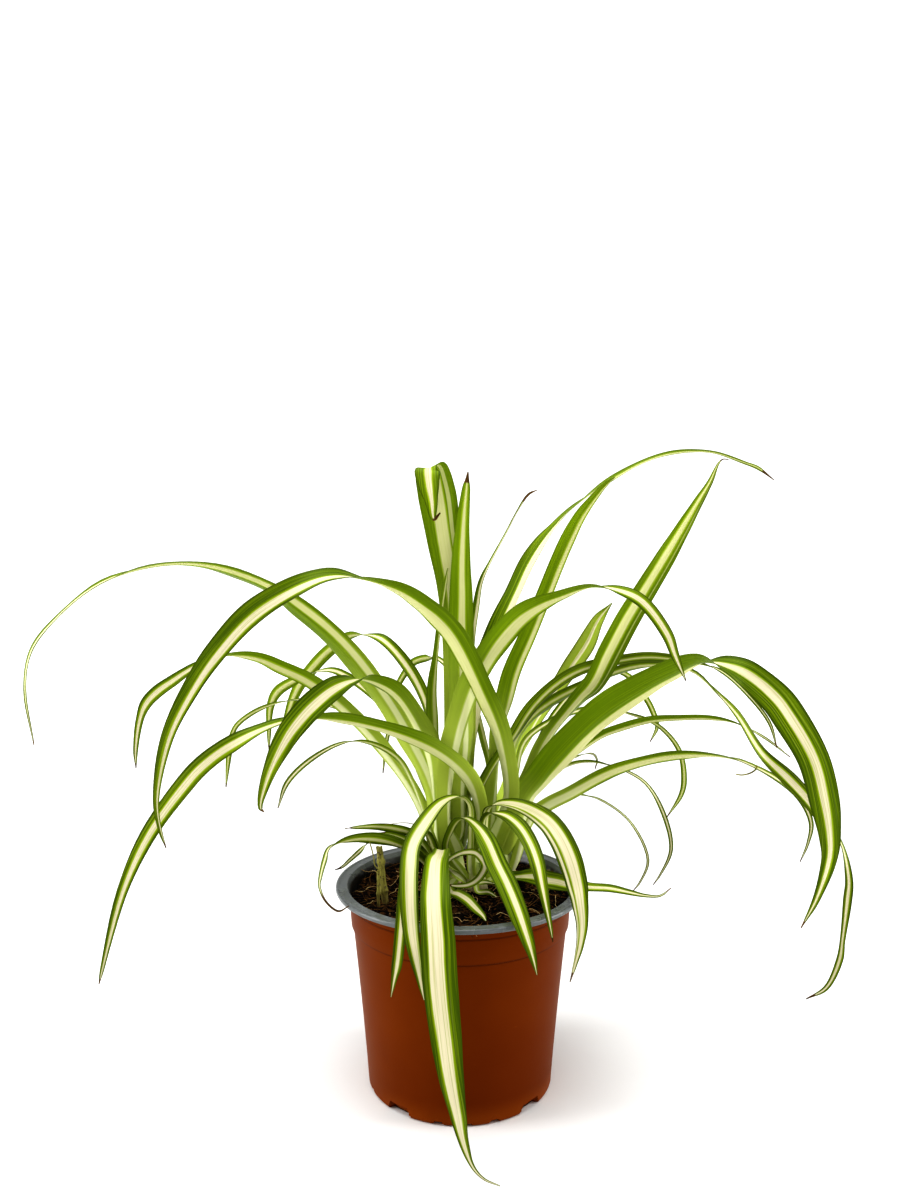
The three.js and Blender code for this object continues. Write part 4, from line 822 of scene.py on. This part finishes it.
def stationsOf(shoot, side, height, widest, route, flat):
    side = math.radians(side)
    outward = Vector((math.cos(side), math.sin(side), 0))
    stem = Vector((shoot["x"], shoot["y"], soil["top"] + height))
    reach = crownRadius(shoot, height)
    root = stem + outward * (reach - blade["rootSink"])
    leaving = stem + outward * (reach + blade["neckOut"]) + Vector((0, 0, blade["neckRise"]))
    seen = [placeOf(across, up, behind) for across, up, behind, width in route]
    points = [root, leaving] + seen
    spans = len(points) - 1
    handed = 1 if route[-1][0] >= route[0][0] else -1
    widths = [width * (place - eye).length / sightLine(across, up).length
              for (across, up, behind, width), place in zip(route, seen)]
    atStem = strapWidth(widest, 0)
    rootWidths = (atStem, max(abs(widths[0]), atStem))
    seenWidths = [math.copysign(width, widths[0]) for width in rootWidths] + widths
    count = spans * blade["stepsPerSpan"]
    places = [splinePlace(points, spans * i / count) for i in range(count + 1)]
    lengths = [0.0]
    for before, place in zip(places, places[1:]):
        lengths.append(lengths[-1] + (place - before).length)
    stations = []
    for i, place in enumerate(places):
        at = i / count * spans
        ahead = splinePlace(points, min(at + blade["probe"], spans))
        behind = splinePlace(points, max(at - blade["probe"], 0))
        along = (ahead - behind).normalized()
        share = lengths[i] / lengths[-1]
        seenWidth = easedValue(seenWidths, at)
        width = max(strapWidth(widest, share), abs(seenWidth), blade["least"])
        shown = math.copysign(1, seenWidth) if flat else seenWidth / width
        turn = math.acos(min(max(shown, -1), 1))
        view = (place - eye).normalized()
        edge = along.cross(view) * handed
        clarity = edge.length
        facing = -(view - along * view.dot(along)).normalized()
        upright = Vector((0, 0, 1)) - along * along.z
        toEye = facing * math.cos(turn) + edge.normalized() * math.sin(turn)
        upFace = toEye * clarity + upright * (1 - clarity)
        atRoot = min(max((blade["rootTurnEnd"] - at) / blade["rootTurnSpans"], 0), 1)
        upFace = upFace * (1 - atRoot) - outward * atRoot
        upFace = (upFace - along * upFace.dot(along)).normalized()
        stations.append({"place": place, "along": along, "upFace": upFace, "width": width,
                         "share": share, "far": lengths[-1] - lengths[i], "run": lengths[i]})
    soften(stations)
    return stations


def soften(stations):
    # evens out the blade's turn and width between stations
    for again in range(blade["evenings"]):
        faces = [station["upFace"] for station in stations]
        widths = [station["width"] for station in stations]
        for i in range(1, len(stations) - 1):
            mean = faces[i - 1] + faces[i] * 2 + faces[i + 1]
            along = stations[i]["along"]
            stations[i]["upFace"] = (mean - along * mean.dot(along)).normalized()
            stations[i]["width"] = (widths[i - 1] + widths[i] * 2 + widths[i + 1]) / 4


def leafMesh(name, chance):
    shoot, side, height, widest, route = leaves[name]
    route = [[float(number) for number in point.split()] for point in route.split(",")]
    group = name.split("_")[0]
    look = looks.get(name, usualLooks[group])
    cream, shade, dryTip, rootShift, rootHalf, tipShift = look + (0, look[0], 0)[len(look) - 3:]
    paleRun = paleRuns.get(name, usualPaleRuns[group])
    twinPlace, twinHalf, rootTwin, tipTwin = twins.get(name, (0, 0, 0, 0))
    rootLevel = math.copysign(1, route[0][3])
    flat = name in creased
    foldInBlade = 0 if flat else blade["foldInBlade"]
    stations = stationsOf(shoots[shoot], side, height, widest, route, flat)
    columns = blade["columns"]
    points = []
    layers = {label: [] for label in ("strap", "habit", "wear", "spot", "twin")}
    seed = chance.random()
    offset = chance.uniform(-blade["stripeSpread"], blade["stripeSpread"])
    wave = chance.uniform(0, 6.28)
    shade = min(shade + chance.uniform(-blade["shadeSpread"], blade["shadeSpread"]), 1)
    narrow, thin, fade = blade["narrowStripe"], blade["thinShare"], blade["dryFade"] * dryTip
    for station in stations:
        share, width, up, run = station["share"], station["width"], station["upFace"], station["run"]
        across = station["along"].cross(up).normalized()
        unfolded = min(share * blade["foldReach"], 1)
        rise = blade["foldAtRoot"] + (foldInBlade - blade["foldAtRoot"]) * unfolded
        full = min(width / blade["broadWidth"], 1)
        ripple = blade["ripple"] * width * math.sin(run * blade["rippleTurn"] + wave) * min(share * 4, 1)
        dry = min(max((dryTip - station["far"]) / fade, 0), 1) if dryTip else 0.0
        pale = max(0, 1 - run / paleRun)
        darker = min(shade + blade["narrowShade"] * (1 - full), 1)
        for level in (1, -1):
            onRootFace = level == rootLevel
            half, shift = (rootHalf, rootShift) if onRootFace else (cream, tipShift)
            for column in range(columns + 1):
                u = column / columns * 2 - 1
                inner = 1 - abs(u) ** blade["edgePower"]
                thick = blade["edgeThickness"] + (blade["thickness"] - blade["edgeThickness"]) * inner
                lift = rise * width * (abs(u) ** blade["foldPower"]) + ripple * u * abs(u)
                point = station["place"] + across * (u * width / 2 * (1 - blade["dryCurl"] * dry))
                point = point + up * (lift + level * thick / 2 * (thin + (1 - thin) * full))
                points.append(point * mm)
                layers["strap"].append((u, full, 1.0 if level > 0 else 0.0))
                layers["habit"].append((half * (narrow + (1 - narrow) * full), darker, seed))
                layers["wear"].append((dry, pale, offset + shift))
                layers["spot"].append((u * width / 2, run, width / 2))
                layers["twin"].append((twinPlace, twinHalf, rootTwin if onRootFace else tipTwin))
    faces = []
    ring = 2 * (columns + 1)
    for here in range(0, (len(stations) - 1) * ring, ring):
        then = here + ring
        for j in range(columns):
            faces.append((here + j, here + j + 1, then + j + 1, then + j))
            below, beyond = here + columns + 1 + j, then + columns + 1 + j
            faces.append((below, beyond, beyond + 1, below + 1))
        left, right = columns + 1, 2 * columns + 1
        faces.append((here, then, then + left, here + left))
        faces.append((here + columns, here + right, then + right, then + columns))
    end = (len(stations) - 1) * ring
    for j in range(columns):
        faces.append((j, columns + 1 + j, columns + 2 + j, j + 1))
        faces.append((end + j, end + j + 1, end + columns + 2 + j, end + columns + 1 + j))
    return points, faces, layers


leafColours = {
    "green": tone(79, 104, 1), "dark": tone(44, 58, 2), "lime": tone(158, 180, 20),
    "cream": tone(226, 218, 186), "ivory": tone(208, 198, 170), "vein": tone(172, 174, 108),
    "under": tone(116, 142, 4), "underPale": tone(204, 206, 142), "sheen": tone(226, 255, 140),
    "paleBase": tone(172, 188, 80), "whiteBase": tone(222, 226, 176),
    "dry": tone(48, 26, 14), "dryPale": tone(112, 78, 42),
}


def leafPaint(nodes):
    across, full, upper = nodes.attribute("strap").parts()
    cream, shade, seed = nodes.attribute("habit").parts()
    dry, pale, offset = nodes.attribute("wear").parts()
    aside, run, halfWidth = nodes.attribute("spot").parts()
    broad = nodes.noise(nodes.vector(aside * 0.25 + seed * 31.0, run * 0.03, seed * 17.0), 1.0, 3.0)
    lines = nodes.noise(nodes.vector(aside * 0.85 + seed * 11.0, run * 0.012, seed * 5.0), 1.0, 3.0)
    fine = nodes.noise(nodes.vector(aside * 2.2 + seed * 23.0, run * 0.02, seed * 3.0), 1.0, 2.0)
    twinPlace, twinHalf, twinShare = nodes.attribute("twin").parts()
    lower = 1 - upper
    # mm from the stripe's border, above zero in the green
    border = ((across - offset).size() - cream + (broad - 0.5) * 0.16) * halfWidth
    border = border + (lines - 0.5) * full * 0.6
    stripe = 1 - (border / ((0.22 + 0.25 * lower) * (0.3 + 0.7 * full))).ramp(-1.0, 1.0)
    lime = border.ramp(-0.35, 0.05) * (1 - border.ramp(0.2, 0.9)) * full
    twinBorder = ((across - twinPlace).size() - twinHalf) * halfWidth + (lines - 0.5) * 0.4
    twin = 1 - twinBorder.ramp(-0.2, 0.25)
    second = 1 - (border - 1.3 - seed).size().ramp(0.1, 0.4)
    # the green darkens with shade: partly the leaf's own tone, partly painted shade
    green = nodes.mix(shade * 0.8 + (broad - 0.5) * 0.5, leafColours["green"], leafColours["dark"])
    streaks = (fine.ramp(0.45, 0.7) * 0.4 + lines.ramp(0.5, 0.7) * 0.2) * full
    green = nodes.mix(streaks, green, leafColours["lime"])
    green = nodes.mix(second * lines.ramp(0.4, 0.6) * 0.12, green, leafColours["vein"])
    dull = lines.ramp(0.35, 0.65) * 0.5 + shade * 0.3
    ivory = nodes.mix(dull, leafColours["cream"], leafColours["ivory"])
    ivory = nodes.mix(fine.ramp(0.48, 0.66) * full * 0.6, ivory, leafColours["vein"])
    # painted light: a shade below zero turns the green paler
    green = nodes.mix((0 - shade).ramp(0.0, 1.0), green, leafColours["paleBase"])
    green = nodes.mix(lower * (1 - shade * 0.7) * 0.72, green, leafColours["under"])
    rim = across.size().ramp(0.72, 1.0) * (0.7 - 0.4 * lower * full)
    green = nodes.mix(rim, green, leafColours["dark"])
    ivory = nodes.mix(lower * 0.8, ivory, leafColours["underPale"])
    body = nodes.mix(stripe, nodes.mix(twin * twinShare, green, ivory), ivory)
    body = nodes.mix(lime * (0.3 + 0.5 * lines), body, leafColours["lime"])
    base = nodes.mix(stripe, leafColours["paleBase"], leafColours["whiteBase"])
    body = nodes.mix(pale.ramp(0.0, 0.6) * 0.95, body, base)
    husk = nodes.mix(fine.ramp(0.4, 0.7), leafColours["dry"], leafColours["dryPale"])
    body = nodes.mix((dry + (lines - 0.5) * 0.6).ramp(0.25, 0.75), body, husk)
    return {"Base Color": body, "Roughness": 0.4 + 0.16 * lines + 0.3 * dry, "Specular IOR Level": 0.3,
            "Specular Tint": leafColours["sheen"],
            "Normal": nodes.bump(fine * 0.6 + lines * 0.8, 0.00022, 0.6)}


def makeLeaves():
    look = material("leafBlade", leafPaint)
    chance = random.Random(blade["seed"])
    total = 0
    for name in leaves:
        points, faces, layers = leafMesh(name, chance)
        slot = "shaded_leaf" if name.startswith(("front", "low", "young")) else "leaf"
        made = piece("blade_" + name, points, faces, slot, name, smooth=60, looks=[look])
        for label, values in layers.items():
            layer = made.data.attributes.new(label, "FLOAT_VECTOR", "POINT")
            layer.data.foreach_set("vector", [number for value in values for number in value])
        total += len(faces)
    print(f"stage: {len(leaves)} leaves, {total} faces")


makeLeaves()

# Shoots: each a short stem wrapped in pale overlapping sheaths
sheaths = {
    "sides": 96, "rows": 40, "sunk": 12, "sunkShare": 0.92, "ridges": 7, "relief": 0.5, "climb": 0.03,
    "low": tone(206, 196, 150), "high": tone(196, 212, 130), "line": tone(168, 190, 96),
    "stain": tone(120, 92, 52),
}


def sheathPaint(nodes):
    here = nodes.place()
    x, y, z = here.parts()
    lines = nodes.noise(nodes.vector(x * 6, y * 6, z * 0.6), 240.0, 3.0)
    cloud = nodes.noise(here, 90.0, 4.0)
    body = nodes.mix(z.ramp(0.093, 0.110), sheaths["low"], sheaths["high"])
    body = nodes.mix(lines.ramp(0.45, 0.7) * 0.4, body, sheaths["line"])
    body = nodes.mix((1 - z.ramp(0.092, 0.100)) * cloud.ramp(0.4, 0.6) * 0.8, body, sheaths["stain"])
    return {"Base Color": body, "Roughness": 0.45 + 0.2 * cloud, "Normal": nodes.bump(lines, 0.0003, 0.7)}


def makeShoots():
    look = material("paleSheath", sheathPaint)
    sides, rows = sheaths["sides"], sheaths["rows"]
    for name, shoot in shoots.items():
        x, y, low, high = shoot["x"], shoot["y"], -sheaths["sunk"], shoot["height"]
        points = [turned(0, 0, soil["top"] + low, x, y)]
        for row in range(rows + 1):
            height = low + (high - low) * row / rows
            bare = crownRadius(shoot, max(height, 0)) * (1 if height > 0 else sheaths["sunkShare"])
            for angle in anglesOf(sides):
                turn = (angle * sheaths["ridges"] / (2 * math.pi) + height * sheaths["climb"] + x) % 1
                radius = bare + sheaths["relief"] * (turn ** 2 - 0.5)
                points.append(turned(radius, angle, soil["top"] + height, x, y))
        points.append(turned(0, 0, soil["top"] + high + 1, x, y))
        piece(name + "_shoot", points, lathed(sides, rows + 1), "sheath", name + "_crown", looks=[look])


# Two dried flower-stem stumps at the left, each from its foot in the mix to its cut end
stubs = {
    "stem_stub_1": {"foot": (-33.9, -14, 84), "end": (-38.5, -13.5, 120), "radius": 1.65,
                    "knots": (0.42, 0.8)},
    "stem_stub_2": {"foot": (-37.7, -18.5, 86), "end": (-38.7, -18.5, 110), "radius": 0.8,
                    "knots": (0.55,)},
}
# Dry wisps: a bent root on the thin stump, a thread that crosses behind the front leaves and a hook
# under a leaf at the right, each with its radius at both ends and its route in mm
wisps = [
    (0.4, 0.25, [(-38.7, -18.5, 110.2), (-37.3, -18.5, 111.15), (-38.7, -18.5, 111.39),
                 (-39.95, -18.5, 112.97), (-40.48, -18.5, 116.81), (-41.34, -18.5, 120.64),
                 (-42.34, -18.5, 124.23)]),
    (0.28, 0.12, [(-12.5, 14, 100), (-15, 12, 113), (-17.17, 10, 119.7), (-20.97, 6, 124.23),
                  (-24.35, 5, 125.64), (-28.2, 4, 126.2), (-32.53, 3, 126.06),
                  (-36.84, 2, 125.73)]),
    (0.48, 0.3, [(150.49, 26.3, 148.97), (149.45, 26, 146.99), (147.33, 25.5, 145.57),
                 (144.69, 25, 144.78), (141.78, 24.5, 144.55), (139.12, 24, 145.09)]),
]
dried = {
    "sides": 28, "rows": 46, "sway": 0.25, "swayTurn": 5, "taper": 0.12, "knotRise": 0.35,
    "knotSharpness": 26, "torn": 0.6, "wispSides": 8, "wispSteps": 6, "probe": 0.05,
    "body": tone(122, 116, 40), "line": tone(156, 150, 72), "speck": tone(66, 46, 24),
    "foot": tone(84, 60, 32),
}


def stubPaint(nodes):
    here = nodes.place()
    x, y, z = here.parts()
    lines = nodes.noise(nodes.vector(x * 8, y * 8, z * 0.8), 260.0, 4.0)
    specks = nodes.noise(here, 700.0, 4.0, 0.7).ramp(0.56, 0.64)
    body = nodes.mix(lines.ramp(0.35, 0.65), dried["body"], dried["line"])
    body = nodes.mix(specks * 0.8, body, dried["speck"])
    body = nodes.mix((1 - z.ramp(0.093, 0.102)) * 0.6, body, dried["foot"])
    return {"Base Color": body, "Roughness": 0.7, "Normal": nodes.bump(lines + specks * 0.4, 0.0005, 0.8)}


def crossAxes(along):
    across = along.cross(Vector((0, 1, 0))).normalized()
    return across, along.cross(across)


def makeStubs(look):
    sides, rows = dried["sides"], dried["rows"]
    for name, stub in stubs.items():
        foot, end = Vector(stub["foot"]), Vector(stub["end"])
        along = (end - foot).normalized()
        across, out = crossAxes(along)
        points = [foot * mm]
        for row in range(rows + 1):
            share = row / rows
            middle = foot.lerp(end, share) + across * math.sin(share * dried["swayTurn"]) * dried["sway"]
            radius = stub["radius"] * (1.0 - dried["taper"] * share)
            for knot in stub["knots"]:
                away = (share - knot) * dried["knotSharpness"]
                radius += dried["knotRise"] * stub["radius"] * math.exp(-away ** 2)
            for angle in anglesOf(sides):
                groove = 1 + 0.06 * math.sin(angle * 7 + share * 3) + 0.04 * math.sin(angle * 3 + row)
                torn = noise.noise(Vector((angle, row, 2.0))) * dried["torn"] if row == rows else 0
                aside = (across * math.cos(angle) + out * math.sin(angle)) * radius * groove
                points.append((middle + aside + along * torn) * mm)
        points.append((end - along * 0.5) * mm)
        piece("dry_" + name, points, lathed(sides, rows + 1), "dry_stem", name, looks=[look])


def makeWisps(look):
    points, faces = [], []
    sides, steps = dried["wispSides"], dried["wispSteps"]
    for thick, thin, route in wisps:
        route = [Vector(place) for place in route]
        spans = len(route) - 1
        count = spans * steps
        first = len(points)
        for row in range(count + 1):
            at = row / steps
            ahead = splinePlace(route, min(at + dried["probe"], spans))
            behind = splinePlace(route, max(at - dried["probe"], 0))
            across, out = crossAxes((ahead - behind).normalized())
            radius = thick + (thin - thick) * row / count
            for angle in anglesOf(sides):
                aside = (across * math.cos(angle) + out * math.sin(angle)) * radius
                points.append((splinePlace(route, at) + aside) * mm)
        for side in range(sides):
            beside = (side + 1) % sides
            for here in range(first, first + count * sides, sides):
                above = here + sides
                faces.append((here + side, above + side, above + beside, here + beside))
        ends = [first + side for side in range(sides)]
        faces += [ends, [count * sides + corner for corner in reversed(ends)]]
    piece("dry_wisps", points, faces, "dry_stem", looks=[look])


makeShoots()
driedStem = material("driedStem", stubPaint)
makeStubs(driedStem)
makeWisps(driedStem)
print("stage: shoots, stumps and wisps")
